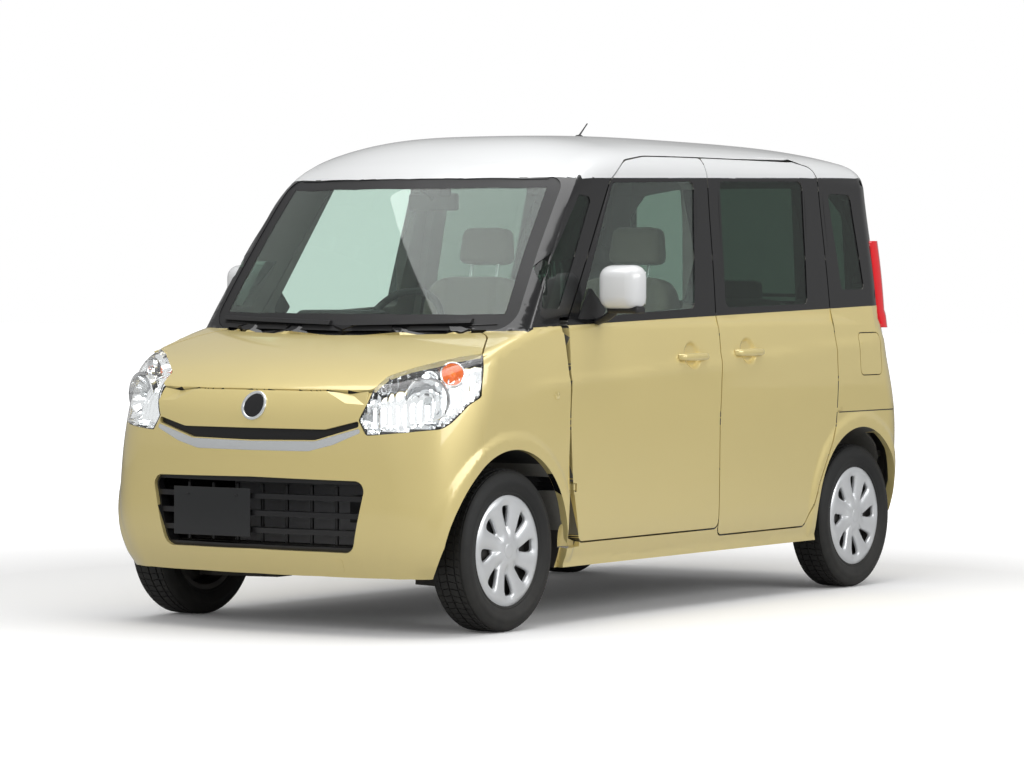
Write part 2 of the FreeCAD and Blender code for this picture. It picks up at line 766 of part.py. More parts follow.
tail_beam = wall_piece(box(-1900, -1480, 0, 560, 440, bumper_top - 4.0), thin_seat, inner)

# Hinge pins and arms. The door arms reach in from the pillar, the bonnet and tailgate arms dip
# under the edge of the opening, so that the panels turn clear of them
pin_r = v("hinge_pin_radius")
eye_r = pin_r + v("hinge_pin_gap")
door_hinge_z = (480.0, 800.0)
arm_turn = Rotation(Vector(0, 0, 1), -50.0)


def bar(p, q, wide, y0, y1):
    """Flat bar in a side view plane from one point to another, round at both ends."""
    a = Vector(p[0], y0, p[1])
    b = Vector(q[0], y0, q[1])
    along = b - a
    across = Vector(-along.z, 0, along.x)
    across.normalize()
    across = across * wide
    deep = Vector(0, y1 - y0, 0)
    flat = prism([a - across, b - across, b + across, a + across], deep)
    return flat.fuse([cylinder(wide, y1 - y0, a, Vector(0, 1, 0)),
                      cylinder(wide, y1 - y0, b, Vector(0, 1, 0))])


def door_arm(z):
    arm = box(0.0, 62.0, -5.0, 5.0, -10.0, 10.0).fuse(
        cylinder(8.0, 20.0, Vector(0, 0, -10.0), Vector(0, 0, 1)))
    arm = arm.fuse(cylinder(pin_r, 52.0, Vector(0, 0, -26.0), Vector(0, 0, 1)))
    arm.Placement = Placement(Vector(hinge_x, hinge_y, z), arm_turn)
    foot = box(hinge_x + 37.0, hinge_x + 72.0, hinge_y - 62.0, hinge_y - 14.0, z - 24.0, z + 24.0)
    return arm.fuse(foot.cut(cylinder(v("hinge_sweep_inner"), 60.0,
                                      Vector(hinge_x, hinge_y, z - 30.0), Vector(0, 0, 1))))


bonnet_pin = (v("bonnet_hinge_x"), v("bonnet_hinge_z"))
bonnet_eye_y = 500.0
bonnet_slot = box(bonnet_pin[0] - 13.0, bonnet_pin[0] + 80.0, bonnet_eye_y - 8.3,
                  bonnet_eye_y + 8.3, bonnet_pin[1] - 50.0, bonnet_pin[1] + 50.0)
bonnet_ears = cylinder(pin_r, 24.0, Vector(bonnet_pin[0], bonnet_eye_y - 12.0, bonnet_pin[1]),
                       Vector(0, 1, 0))
tail_pin = (v("tail_hinge_x"), v("tail_hinge_z"))
tail_eye_y = 220.0
tail_arm = bar(tail_pin, (tail_pin[0] + 3.0, tail_pin[1] - 42.0), 6.0, tail_eye_y - 10.0,
               tail_eye_y + 10.0).fuse([
    bar((tail_pin[0] + 3.0, tail_pin[1] - 42.0), (tail_pin[0] + 62.0, tail_pin[1] - 42.0), 6.0,
        tail_eye_y - 10.0, tail_eye_y + 10.0),
    box(tail_pin[0] + 50.0, tail_pin[0] + 68.0, tail_eye_y - 10.0, tail_eye_y + 10.0,
        tail_pin[1] - 48.0, tail_pin[1] + 4.0),
    cylinder(pin_r, 44.0, Vector(tail_pin[0], tail_eye_y - 22.0, tail_pin[1]), Vector(0, 1, 0)),
])
lid_bumps = wall_piece(
    cylinder(6.0, 300.0, Vector(-1262.0, 600.0, 868.0), Vector(0, 1, 0)).fuse([
        cylinder(6.0, 300.0, Vector(-1262.0, 600.0, 950.0), Vector(0, 1, 0)),
        cylinder(6.0, 300.0, Vector(-1385.0, 600.0, 909.0), Vector(0, 1, 0))]),
    glass_seat, inner,
)
tow_x = v("tow_eye_x")
tow_y = v("tow_eye_y")
tow_z = v("tow_eye_z")
tow_r = v("tow_bore_radius")
tow_plate = box(tow_x, tow_x + v("tow_plate_thick"), tow_y - 34.0, tow_y + 34.0, tow_z - 26.0,
                rear_floor_low + 8.0).cut(cylinder(tow_r, 60.0, Vector(tow_x - 20.0, tow_y, tow_z),
                                                   Vector(1, 0, 0)))
wing_pocket = wall_piece(left_prism(wing_face), outer, thin_seat)
walls = walls.cut([bumper_out, rear_bumper_zone, wing_pocket, tail_zone(gap), bonnet_out])
walls = walls.fuse([floor_plate, rear_floor, firewall, sill, front_house, rear_house, tower,
                    b_post, front_rail, radiator_panel, nose_beam, nose_stays, tail_beam])
door_hole = wall_piece(door_out, outer, cleared)
slide_hole = wall_piece(slide_out, outer, cleared)
walls = walls.cut([door_hole, slide_hole, tower_bore, front_arch(arch_r, apron_y),
                   rear_arch(rear_r, rear_y), lamp_out, door_sweep, tail_sweep,
                   box(-2000, v("rear_axle_x"), 0, 900, 0, bumper_low)])

# Windows and recesses in the shell
SCREEN_HALF = [(0.0, 1034.0), (640.0, 1040.0), (582.0, 1552.0), (0.0, 1556.0)]
SCREEN_ROUND = [0, 50, 50, 0, 50, 50]
screen_face = mirrored_face(SCREEN_HALF, SCREEN_ROUND, 540.0)
TAIL_GLASS = [(0.0, 1112.0), (512.0, 1112.0), (492.0, 1560.0), (0.0, 1566.0)]
tail_glass_face = mirrored_face(TAIL_GLASS, [0, 40, 50, 0, 50, 40], -2000.0)


def screen_sweep(face):
    return face.extrude(Vector(900, 0, 0))


def tail_sweep_x(face):
    return face.extrude(Vector(500, 0, 0))


def front_quarter_zone(by):
    """Front quarter window in the side wall alone, clear of the windscreen."""
    return left_prism(grown(front_quarter_face, by)).common(box(500, 1100, 622, 900, 900, 1700))


ROOF_HALF = [(v("tail_seam_x") + gap * 2, 0.0), (v("tail_seam_x") + gap * 2, 500.0),
             (-1395.0, v("roof_seam_y")), (560.0, v("roof_seam_y")), (640.0, 500.0), (706.0, 0.0)]
roof_right = [Vector(x, y, 1580) for x, y in ROOF_HALF]
roof_left = [Vector(p.x, -p.y, p.z) for p in reversed(roof_right[1:-1])]
roof_face = Part.Face(
    round_wire(roof_right + roof_left, [0, 40, 60, 60, 500, 800, 500, 60, 60, 40])
)
roof_in = roof_face.extrude(Vector(0, 0, 300))
roof_out = grown(roof_face, seat).extrude(Vector(0, 0, 300))
bows = wall_piece(
    box(-900, -850, 0, 600, 1600, 1800).fuse([
        box(-300, -250, 0, 600, 1600, 1800), box(250, 300, 0, 600, 1600, 1800)]).common(
        box(-2000, 2000, 0, v("roof_seam_y") - seat, 0, 2000)),
    thin_seat, inner,
).cut([door_hole, slide_hole])
rear_bow = wall_piece(box(-1428, -1370, 0, 600, 1600, 1800), thin_seat, inner)
TAIL_LAMP = [(612.0, 1004.0), (760.0, 1004.0), (760.0, 1358.0), (599.0, 1358.0)]
tail_lamp_face = Part.Face(
    round_wire([Vector(-2000, y, z) for y, z in TAIL_LAMP], [20, 0, 0, 20])
)
tail_lamp_run = Vector(2000 - 1446.0, 0, 0)
lamp_tail_zone = tail_lamp_face.extrude(tail_lamp_run)
lamp_tail_out = wall_piece(
    grown(tail_lamp_face, seat).extrude(tail_lamp_run + Vector(seat, 0, 0)), outer, thin_seat)
rail_groove = wall_piece(box(-1530, -1050, 0, 900, 688, 706), outer, glass_seat)
lid_pocket = wall_piece(left_prism(grown(lid_face, 4.0)), outer, thin_seat)

cuts = [
    roof_out.common(half),
    screen_sweep(screen_face).common(half),
    wall_piece(screen_sweep(grown(screen_face, lap + seat)), outer, glass_seat),
    left_prism(quarter_clear_face),
    wall_piece(left_prism(grown(quarter_face, seat)), outer, glass_seat),
    front_quarter_zone(0.0),
    wall_piece(front_quarter_zone(lap + seat), outer, glass_seat),
    lamp_tail_out,
    rail_groove,
    bonnet_slot,
    box(-290, -210, 560, 780, 1600, v("door_top") + gap),
]
walls = walls.cut(cuts)
walls = walls.fuse([rear_bow, bonnet_ears, tail_arm, tow_plate] + [door_arm(z) for z in door_hinge_z])
shell_left = biggest(walls)
shell_right = mirror(shell_left)
shell_left = shell_left.cut(lid_pocket).fuse(lid_bumps)

# The welded body in the parts it is pressed in: engine bay with the firewall and cowl, floor
# with the sills, tail panel, and on each side the frame round the doors with its centre post
side_left = shell_left.fuse(shell_right)
for name, zone in (
    ("front_frame", box(firewall_x, 2000, -900, 900, 0, 2000).fuse(
        box(850, firewall_x, -560, 560, 900, 1200))),
    ("floor_pan", box(kick_x, firewall_x, -900, 900, 0, floor_z).fuse(
        box(-1900, kick_x, -rear_y + apron, rear_y - apron, 0, rear_floor_z + 1.0))),
    ("tail_panel", box(-1900, v("tail_seam_x"), -600, 600, 0, bumper_top)),
):
    keep(name, biggest(side_left.common(zone)))
    side_left = side_left.cut(zone)
header_zone = box(-1900, 1000, -540, 540, 1480, 2000)
headers = biggest(side_left.common(header_zone), 2)
keep("side_frames", biggest(side_left.cut(header_zone), 4), 4)
post_head = post_zone.common(inner).cut(post_in).common(box(-400, 0, 300, 539.7, 1580.5, 1800))
bow_solids = whole(bows.fuse(post_head.cut([door_hole, slide_hole]))).Solids
keep("roof_frame", Part.makeCompound(
    headers.Solids + sorted(bow_solids, key=lambda s: -s.Volume)[:3]), 5)

# Closed panels
keep("roof_panel", whole(biggest(wall_piece(roof_in, outer, thin).cut([door_out, slide_out]))))
bonnet_knee = (bonnet_pin[0] + 46.0, bonnet_pin[1] - 28.0)
bonnet_arm = bar(bonnet_pin, bonnet_knee, 6.0, bonnet_eye_y - 8.0, bonnet_eye_y + 8.0).fuse([
    bar(bonnet_knee, (bonnet_pin[0] + 106.0, bonnet_pin[1] + 16.0), 6.0, bonnet_eye_y - 8.0,
        bonnet_eye_y + 8.0),
    cylinder(9.0, 16.0, Vector(bonnet_pin[0], bonnet_eye_y - 8.0, bonnet_pin[1]),
             Vector(0, 1, 0))])
bonnet_bore = cylinder(eye_r, 16.4, Vector(bonnet_pin[0], bonnet_eye_y - 8.2, bonnet_pin[1]),
                       Vector(0, 1, 0))
bonnet_half = biggest(wall_piece(bonnet_in, outer, thin)).fuse(bonnet_arm.common(outer))
keep("bonnet", whole(biggest(bonnet_half.common(half).cut(bonnet_bore))))
screen_room = screen_sweep(grown(screen_face, lap + seat))
wing = biggest(wall_piece(left_prism(wing_face), outer, thin).cut(
    [wall_piece(screen_room, outer, glass_seat), bonnet_out, lamp_out, bumper_out, front_arch(arch_r, apron_y), door_sweep, door_out,
     box(0, 3000, 0, 560, 0, 3000)]
))
keep("front_wings", pair(wing), 2)

GRILLE_HALF = [(0.0, 532.0), (456.0, 526.0), (398.0, 284.0), (0.0, 286.0)]
grille_face = mirrored_face(GRILLE_HALF, [0, 34, 40, 0, 40, 34], 1200.0)
SLOT_HALF = [(0.0, 657.0), (262.0, 661.0), (424.0, 707.0), (424.0, 727.0), (300.0, 697.0),
             (0.0, 697.0)]
slot_face = mirrored_face(SLOT_HALF, [0, 60, 8, 8, 60, 0, 60, 8, 8, 60], 1200.0)
BAR_HALF = [(0.0, 622.0), (236.0, 623.0), (330.0, 646.0), (432.0, 688.0), (428.0, 702.0),
            (262.0, 657.0), (0.0, 653.0)]
bar_face = mirrored_face(BAR_HALF, [0, 80, 80, 6, 6, 60, 0, 60, 6, 6, 80, 80], 1200.0)


def nose_sweep(face):
    return face.extrude(Vector(700, 0, 0))


bumper = wall_piece(bumper_in, outer, thin).cut([
    bonnet_out, lamp_out, front_arch(arch_r, apron_y), nose_sweep(grille_face),
    nose_sweep(grown(slot_face, seat)), nose_sweep(grown(bar_face, seat)),
])
keep("front_bumper", whole(biggest(bumper)))
keep("chrome_bar", whole(biggest(wall_piece(nose_sweep(bar_face), outer, thin))))
slot_back = body_form(30, 30, 30, 30, 30, 30)
slot_panel = whole(biggest(
    wall_piece(nose_sweep(grown(slot_face, 12.0)), thin_seat, slot_back).cut(lamp_out)))
slats = []
for i in range(4):
    z = 300.0 + i * 58.0
    slats.append(box(1300, 1900, -520, 520, z, z + 40.0))
grille_back = wall_piece(nose_sweep(grown(grille_face, 16.0)), thin_seat, inner)
slat_panel = whole(biggest(grille_back.cut(
    [nose_sweep(grown(grille_face, -8.0)).common(s) for s in slats])))
keep("grilles", Part.makeCompound([slot_panel, slat_panel]), 2)
lamp = biggest(wall_piece(lamp_in, outer, inner).cut([bonnet_out]))
keep("headlamps", pair(lamp), 2)
keep("tail_lamps", pair(biggest(wall_piece(lamp_tail_zone, outer, thin))), 2)
keep("rear_bumper", whole(biggest(wall_piece(rear_bumper_zone, outer, thin).cut(
    rear_arch(rear_r, rear_y)))))

# Doors
door = glazed(wall_piece(left_prism(door_face)), door_glass_face, left_prism)
for z in door_hinge_z:
    door = door.cut([
        box(hinge_x - 15.0, hinge_x + 45.0, hinge_y - 50.0, hinge_y + 17.0, z - 18.0, z + 18.0),
        cylinder(eye_r, 54.0, Vector(hinge_x, hinge_y, z - 27.0), Vector(0, 0, 1)),
    ])
door = biggest(door)
slide = glazed(wall_piece(left_prism(slide_face)), slide_glass_face, left_prism)
roller = wall_piece(box(-1092, -1030, 0, 900, 688.3, 705.7), glass_out, glass_in)
slide = biggest(slide.fuse(roller))
keep("front_door_left", door)
keep("front_door_right", mirror(door))
keep("sliding_door_left", slide)
keep("sliding_door_right", mirror(slide))
tailgate = wall_piece(tail_zone(0.0)).cut([
    tail_sweep_x(tail_glass_face),
    wall_piece(tail_sweep_x(grown(tail_glass_face, lap + seat)), outer, glass_seat),
    box(tail_pin[0] - 12.0, tail_pin[0] + 40.0, tail_eye_y - 14.0, tail_eye_y + 14.0,
        tail_pin[1] - 60.0, tail_pin[1] + 9.0),
    cylinder(eye_r, 46.0, Vector(tail_pin[0], tail_eye_y - 23.0, tail_pin[1]), Vector(0, 1, 0)),
    cylinder(v("plate_hole_radius"), 400.0,
             Vector(-1900.0, v("plate_hole_pitch") / 2.0, v("plate_hole_z")), Vector(1, 0, 0)),
])
keep("tailgate", whole(biggest(tailgate)))

# Glass
door_pane = pane(door_glass_face, left_prism)
keep("front_door_glass_left", door_pane)
keep("front_door_glass_right", mirror(door_pane))
side_panes = [
    pane(slide_glass_face, left_prism),
    biggest(wall_piece(left_prism(quarter_face), glass_out, glass_in)),
    biggest(wall_piece(front_quarter_zone(lap), glass_out, glass_in).cut(screen_room)),
]
keep("side_glass", Part.makeCompound(side_panes + [mirror(p) for p in side_panes]), 6)
keep("windscreen", whole(pane(screen_face, screen_sweep)))
keep("tailgate_glass", whole(pane(tail_glass_face, tail_sweep_x)))
lid_spot = Vector(v("lid_hinge_x"), v("lid_hinge_y"), v("lid_hinge_z"))
lid_axis = Vector(0, 0.1, -1.0)
lid_axis.normalize()
lid = biggest(wall_piece(left_prism(lid_face), outer, glass_in).fuse(
    cylinder(3.0, 40.0, lid_spot - lid_axis * 20.0, lid_axis)))
keep("fuel_lid", lid)


# Pieces drawn as document objects, their sizes bound to the sheet
def dim(alias, add=0.0, times=1.0):
    """A size from the sheet with its expression: times the size, plus a number."""
    return times * v(alias) + add, "%g * Sizes.%s + %g" % (times, alias, add)


def plane_of(body, role):
    for feature in body.Origin.OriginFeatures:
        if feature.Role == role:
            return feature


def bound_sketch(body, name, role, points):
    """Closed sketch with each corner held from the origin, by numbers or bound sizes."""
    sketch = body.newObject("Sketcher::SketchObject", name)
    sketch.AttachmentSupport = [(plane_of(body, role), "")]
    sketch.MapMode = "FlatFace"
    spots = [[c if isinstance(c, tuple) else (float(c), "") for c in p] for p in points]
    n = len(spots)
    for i in range(n):
        a, b = spots[i], spots[(i + 1) % n]
        sketch.addGeometry(
            Part.LineSegment(Vector(a[0][0], a[1][0], 0), Vector(b[0][0], b[1][0], 0)), False)
    for i in range(n):
        sketch.addConstraint(Sketcher.Constraint("Coincident", i, 2, (i + 1) % n, 1))
    for i in range(n):
        for k, kind in ((0, "DistanceX"), (1, "DistanceY")):
            held = sketch.addConstraint(Sketcher.Constraint(kind, -1, 1, i, 1, spots[i][k][0]))
            if spots[i][k][1]:
                sketch.setExpression("Constraints[%d]" % held, spots[i][k][1])
    return sketch


def put(obj, x, y, z, turn=None):
    """Bind a document object's place to the sheet."""
    if turn is not None:
        obj.Placement = Placement(Vector(0, 0, 0), turn)
    for axis, value in (("x", x), ("y", y), ("z", z)):
        if isinstance(value, tuple):
            obj.setExpression("Placement.Base.%s" % axis, value[1])
        else:
            obj.setExpression("Placement.Base.%s" % axis, "%g" % value)
    return obj


def solid(kind, name, **sizes):
    """A Part primitive with bound sizes."""
    obj = doc.addObject("Part::" + kind, name)
    for prop, value in sizes.items():
        if isinstance(value, tuple):
            obj.setExpression(prop, value[1])
        else:
            setattr(obj, prop, value)
    return obj


def wheel_body(name, x, half_track, side):
    """Pressed wheel with its full cover: barrel, disc, hub and eight tapered slots."""
    body = doc.addObject("PartDesign::Body", name)
    outline = bound_sketch(body, name + "_section", "XY_Plane", [
        (70, 0), (64, dim("hub_radius", -20.0)), (66, 156), (70, 178),
        (62, dim("flange_radius")), (dim("bead_width", 0, 0.5), dim("bead_radius")),
        (dim("bead_width", 0, -0.5), dim("bead_radius")), (-63, dim("flange_radius")),
        (-63, dim("bead_radius", -v("barrel_thick"))), (36, dim("bead_radius", -v("barrel_thick"))),
        (30, dim("disc_radius")), (-32, dim("disc_radius")),
        (-32, dim("spindle_radius", v("bearing_gap"))),
        (50, dim("spindle_radius", v("bearing_gap"))), (50, 0),
    ])
    turned = body.newObject("PartDesign::Revolution", name + "_turned")
    turned.Profile = outline
    turned.ReferenceAxis = (outline, ["H_Axis"])
    turned.Angle = 360
    doc.recompute()
    slot = bound_sketch(body, name + "_slot", "YZ_Plane", [
        (dim("slot_inner_width", 0, -0.5), dim("slot_inner_radius")),
        (dim("slot_inner_width", 0, 0.5), dim("slot_inner_radius")),
        (dim("slot_outer_width", 0, 0.5), dim("slot_outer_radius")),
        (dim("slot_outer_width", 0, -0.5), dim("slot_outer_radius")),
    ])
    pocket = body.newObject("PartDesign::Pocket", name + "_opening")
    pocket.Profile = slot
    pocket.Type = 0
    pocket.Length = 90
    pocket.Reversed = True
    doc.recompute()
    ring = body.newObject("PartDesign::PolarPattern", name + "_openings")
    ring.Originals = [pocket]
    ring.Axis = (slot, ["N_Axis"])
    ring.Angle = 360
    ring.setExpression("Occurrences", "Sizes.slot_count")
    body.Tip = ring
    put(body, x, (side * half_track[0], "%g * (%s)" % (side, half_track[1])), dim("axle_height"),
        Rotation(Vector(0, 0, 1), 90.0 * side))
    body.Label = name
    pieces[name] = body
    return body


def tyre_body(name, x, half_track, side):
    """Tyre on the rim: bead, round sidewall, shoulder and a flat tread."""
    body = doc.addObject("PartDesign::Body", name)
    right = [
        (dim("bead_width", -0.5, 0.5), dim("bead_radius", 0.3)),
        (61.2, dim("flange_radius", 1.0)), (dim("tyre_width", 0, 0.5), 236),
        (54, dim("tyre_radius")),
    ]
    left = [((-p[0][0], "-1 * (%s)" % p[0][1]) if isinstance(p[0], tuple) else -p[0], p[1])
            for p in reversed(right)]
    section = bound_sketch(body, name + "_section", "XY_Plane", right + left)
    turned = body.newObject("PartDesign::Revolution", name + "_turned")
    turned.Profile = section
    turned.ReferenceAxis = (section, ["H_Axis"])
    turned.Angle = 360
    body.Tip = turned
    put(body, x, (side * half_track[0], "%g * (%s)" % (side, half_track[1])), dim("axle_height"),
        Rotation(Vector(0, 0, 1), 90.0 * side))
    body.Label = name
    pieces[name] = body
    return body


for end, place in (("front", dim("front_axle_x")), ("rear", dim("rear_axle_x"))):
    track = dim(end + "_track", 0, 0.5)
    for side_name, side in (("left", 1), ("right", -1)):
        wheel_body("wheel_%s_%s" % (end, side_name), place, track, side)
        tyre_body("tyre_%s_%s" % (end, side_name), place, track, side)

# Steered knuckle with its strut, spring, spindle and ball joints, turning about the kingpin
king_top = Vector(v("front_axle_x"), v("kingpin_top_y"), v("kingpin_top_z"))
king_low = Vector(v("front_axle_x"), v("kingpin_low_y"), v("kingpin_low_z"))
king = king_top - king_low
king_unit = Vector(king.x, king.y, king.z)
king_unit.normalize()
half_front = v("front_track") / 2.0
spindle_in = 572.0
spindle = cylinder(
    v("spindle_radius"), half_front + 49.5 - spindle_in,
    Vector(v("front_axle_x"), spindle_in, v("axle_height")), Vector(0, 1, 0))
lean = math.sqrt(1.0 - king_unit.z ** 2)
top_ball_r = v("top_mount_radius")
top_ball = king_top - king_unit * (top_ball_r * lean / king_unit.z)
strut_low = Vector(v("front_axle_x"), 528.0, 330.0)
strut_run = top_ball - strut_low
strut = cylinder(v("strut_radius"), strut_run.Length, strut_low, strut_run)
spring_base = strut_low + strut_run * 0.64
spring = cylinder(v("spring_radius"), strut_run.Length * 0.3, spring_base, strut_run)
upright = prism(
    [Vector(1154.0, 566.0, 330.0), Vector(1226.0, 566.0, 330.0), Vector(1222.0, 566.0, 194.0),
     Vector(1206.0, 566.0, 171.0), Vector(1174.0, 566.0, 171.0), Vector(1158.0, 566.0, 194.0)],
    Vector(0, 26.0, 0))
clamp = box(1162.0, 1218.0, 516.0, 590.0, 318.0, 372.0)
low_ball = cylinder(v("ball_radius"), 24.0, king_low, king_unit)
steer_arm = box(1060.0, 1176.0, 560.0, 580.0, 236.0, 256.0)
knuckle = upright.fuse([spindle, strut, spring, clamp, low_ball, steer_arm,
                        cylinder(top_ball_r, 30.0, top_ball, king_unit * -1.0)])
keep("knuckle_left", knuckle)
keep("knuckle_right", mirror(knuckle))

# Front crossmember with the two lower arms, and the axle beam at the rear
arm_top = v("kingpin_low_z") - v("ball_radius") * lean - seat
arm_low = arm_top - v("arm_thick")
lower_arm = prism(
    [Vector(1065.0, 300.0, arm_low), Vector(1150.0, 300.0, arm_low),
     Vector(1211.0, 560.0, arm_low), Vector(1211.0, 606.0, arm_low),
     Vector(1169.0, 606.0, arm_low), Vector(1160.0, 560.0, arm_low)],
    Vector(0, 0, v("arm_thick")))
cross = box(1050.0, 1136.0, 0.0, 340.0, arm_top - 2.0, arm_top - 2.0 + v("crossmember_height"))
leg = box(1064.0, 1122.0, v("rail_y") + 2.0, v("rail_y") + v("rail_width") - 2.0, arm_top - 2.0,
          v("rail_z") - seat)
keep("front_subframe", whole(cross.fuse([lower_arm, leg])))

bush_z = floor_low - seat - v("arm_bush_radius")
axle_z = v("axle_height")
arm_y = v("arm_y")
rear_half = v("rear_track") / 2.0
beam = cylinder(v("axle_beam_radius"), arm_y, Vector(v("axle_beam_x"), 0, axle_z - 4.0),
                Vector(0, 1, 0))
trail = prism(
    [Vector(v("arm_bush_x"), arm_y - 22.0, bush_z - 20.0),
     Vector(v("arm_bush_x"), arm_y - 22.0, bush_z + 20.0),
     Vector(-1120.0, arm_y - 22.0, 298.0), Vector(-1270.0, arm_y - 22.0, 306.0),
     Vector(-1275.0, arm_y - 22.0, 250.0), Vector(-1100.0, arm_y - 22.0, 248.0)],
    Vector(0, 44.0, 0))
bush = cylinder(v("arm_bush_radius"), 80.0, Vector(v("arm_bush_x"), arm_y - 40.0, bush_z),
                Vector(0, 1, 0))
rear_spindle = cylinder(v("spindle_radius"), rear_half + 49.5 - arm_y,
                        Vector(v("rear_axle_x"), arm_y, axle_z), Vector(0, 1, 0))
back_plate = cylinder(100.0, 10.0, Vector(v("rear_axle_x"), 574.0, axle_z), Vector(0, 1, 0))
spring_seat = box(-1205.0, -1095.0, 375.0, 500.0, 292.0, 302.0)
rear_spring = cylinder(52.0, rear_floor_low - seat - 300.0, Vector(-1150.0, 430.0, 300.0),
                       Vector(0, 0, 1))
keep("rear_axle", whole(beam.fuse([trail, bush, rear_spindle, back_plate, spring_seat,
                                   rear_spring])))

# Engine as one plain block on the crossmember, fuel tank and exhaust under the floor
engine = solid("Box", "engine", Length=dim("engine_length"), Width=dim("engine_width"),
               Height=dim("engine_height"))
put(engine, 1060.0, dim("engine_width", 0, -0.5), arm_top - 2.0 + v("crossmember_height") + seat)
engine.Label = "engine"
pieces["engine"] = engine
tank_block = solid("Box", "tank_block", Length=dim("tank_length"), Width=dim("tank_width"),
                   Height=dim("tank_height"))
put(tank_block, -760.0, -130.0, dim("floor_height", -v("floor_thick") - seat - v("tank_height")))
doc.recompute()
tank = doc.addObject("Part::Fillet", "fuel_tank")
tank.Base = tank_block
tank.Edges = [(i + 1, 26.0, 26.0) for i, e in enumerate(tank_block.Shape.Edges)
              if abs(e.BoundBox.ZLength - v("tank_height")) < 0.01]
tank.Label = "fuel_tank"
pieces["fuel_tank"] = tank
pipe_y = -180.0
pipe_r = v("pipe_radius")
pipe_path = [Vector(1059.7, pipe_y, 240.0), Vector(-910.0, pipe_y, 240.0),
             Vector(-1045.0, pipe_y, 385.0), Vector(-1390.0, pipe_y, 385.0)]
legs = []
for a, b in zip(pipe_path[:-1], pipe_path[1:]):
    legs.append(cylinder(pipe_r, (b - a).Length, a, b - a))
    legs.append(Part.makeSphere(pipe_r, b))
muffler_half = v("muffler_length") / 2.0
muffler_z = 390.0
tail_pipe = [Vector(-1390.0, 150.0, muffler_z), Vector(-1470.0, 150.0, 350.0),
             Vector(-1560.0, 150.0, 262.0), Vector(-1676.0, 150.0, 262.0)]
for a, b in zip(tail_pipe[:-1], tail_pipe[1:]):
    legs.append(cylinder(pipe_r - 3.0, (b - a).Length, a, b - a))
    if b is not tail_pipe[-1]:
        legs.append(Part.makeSphere(pipe_r - 3.0, b))
legs.append(cylinder(v("muffler_radius"), 2.0 * muffler_half, Vector(-1390.0, -muffler_half,
                                                                     muffler_z), Vector(0, 1, 0)))
for y in (-110.0, 90.0):
    legs.append(box(-1404.0, -1376.0, y, y + 20.0, muffler_z + 40.0, rear_floor_low - seat))
keep("exhaust", cylinder(30.0, 60.0, Vector(400.0, pipe_y, 240.0), Vector(1, 0, 0)).fuse(legs).cut(
    box(1049.4, 1100.0, -300.0, -100.0, 150.0, arm_top - 1.4 + v("crossmember_height"))))

# Seats: one profile each, rounded and swept across, with headrests
SEAT_PROFILE = [(v("seat_front_x"), 540.0), (v("seat_front_x"), v("seat_cushion_z") - 20.0),
                (v("seat_front_x") - 60.0, v("seat_cushion_z")), (40.0, 632.0), (-36.0, 646.0),
                (v("seat_back_x") + 40.0, v("seat_back_z") - 60.0),
                (v("seat_back_x") + 10.0, v("seat_back_z")),
                (v("seat_back_x") - 66.0, v("seat_back_z") - 6.0), (-160.0, 560.0),
                (-130.0, 500.0), (260.0, 500.0)]
SEAT_ROUND = [20, 24, 80, 100, 60, 60, 30, 40, 120, 50, 60]
seat_y = v("seat_y")
seat_half = v("seat_width") / 2.0


def swept_seat(profile, rounds, y0, y1):
    face = Part.Face(round_wire([Vector(x, y0, z) for x, z in profile], rounds))
    return face.extrude(Vector(0, y1 - y0, 0))


one_seat = swept_seat(SEAT_PROFILE, SEAT_ROUND, seat_y - seat_half, seat_y + seat_half)
head_zone = swept_seat(
    [(-190.0, 1250.0), (-186.0, v("headrest_z") - 10.0), (-262.0, v("headrest_z")),
     (-278.0, 1252.0)], [24, 40, 36, 20], seat_y - 115.0, seat_y + 115.0)
one_seat = one_seat.fuse([
    head_zone, box(-100.0, 240.0, seat_y - 170.0, seat_y + 170.0, floor_z + seat, 520.0),
    cylinder(7.0, 120.0, Vector(-212.0, seat_y - 60.0, 1160.0), Vector(-0.12, 0, 1)),
    cylinder(7.0, 120.0, Vector(-212.0, seat_y + 60.0, 1160.0), Vector(-0.12, 0, 1)),
])
keep("front_seats", pair(one_seat), 2)
rear_half_seat = v("rear_seat_width") / 2.0
REAR_PROFILE = [(v("rear_seat_front_x"), rear_floor_z + seat), (v("rear_seat_front_x"), 640.0),
                (v("rear_seat_front_x") - 60.0, 662.0), (-940.0, 636.0), (-1000.0, 650.0),
                (-1070.0, v("rear_seat_back_z") - 40.0), (-1100.0, v("rear_seat_back_z")),
                (-1168.0, v("rear_seat_back_z") - 6.0), (-1110.0, 600.0),
                (-1090.0, rear_floor_z + seat)]
bench = swept_seat(REAR_PROFILE, [20, 24, 80, 100, 60, 50, 24, 36, 80, 20], -rear_half_seat,
                   rear_half_seat)
bench = bench.fuse([
    box(-880.0, -680.0, -420.0, 420.0, floor_z + seat, rear_floor_z + 30.0),
    box(-1164.0, -1104.0, 160.0, 340.0, v("rear_seat_back_z") - 30.0, 1190.0),
    box(-1164.0, -1104.0, -340.0, -160.0, v("rear_seat_back_z") - 30.0, 1190.0),
])
keep("rear_seat", bench)

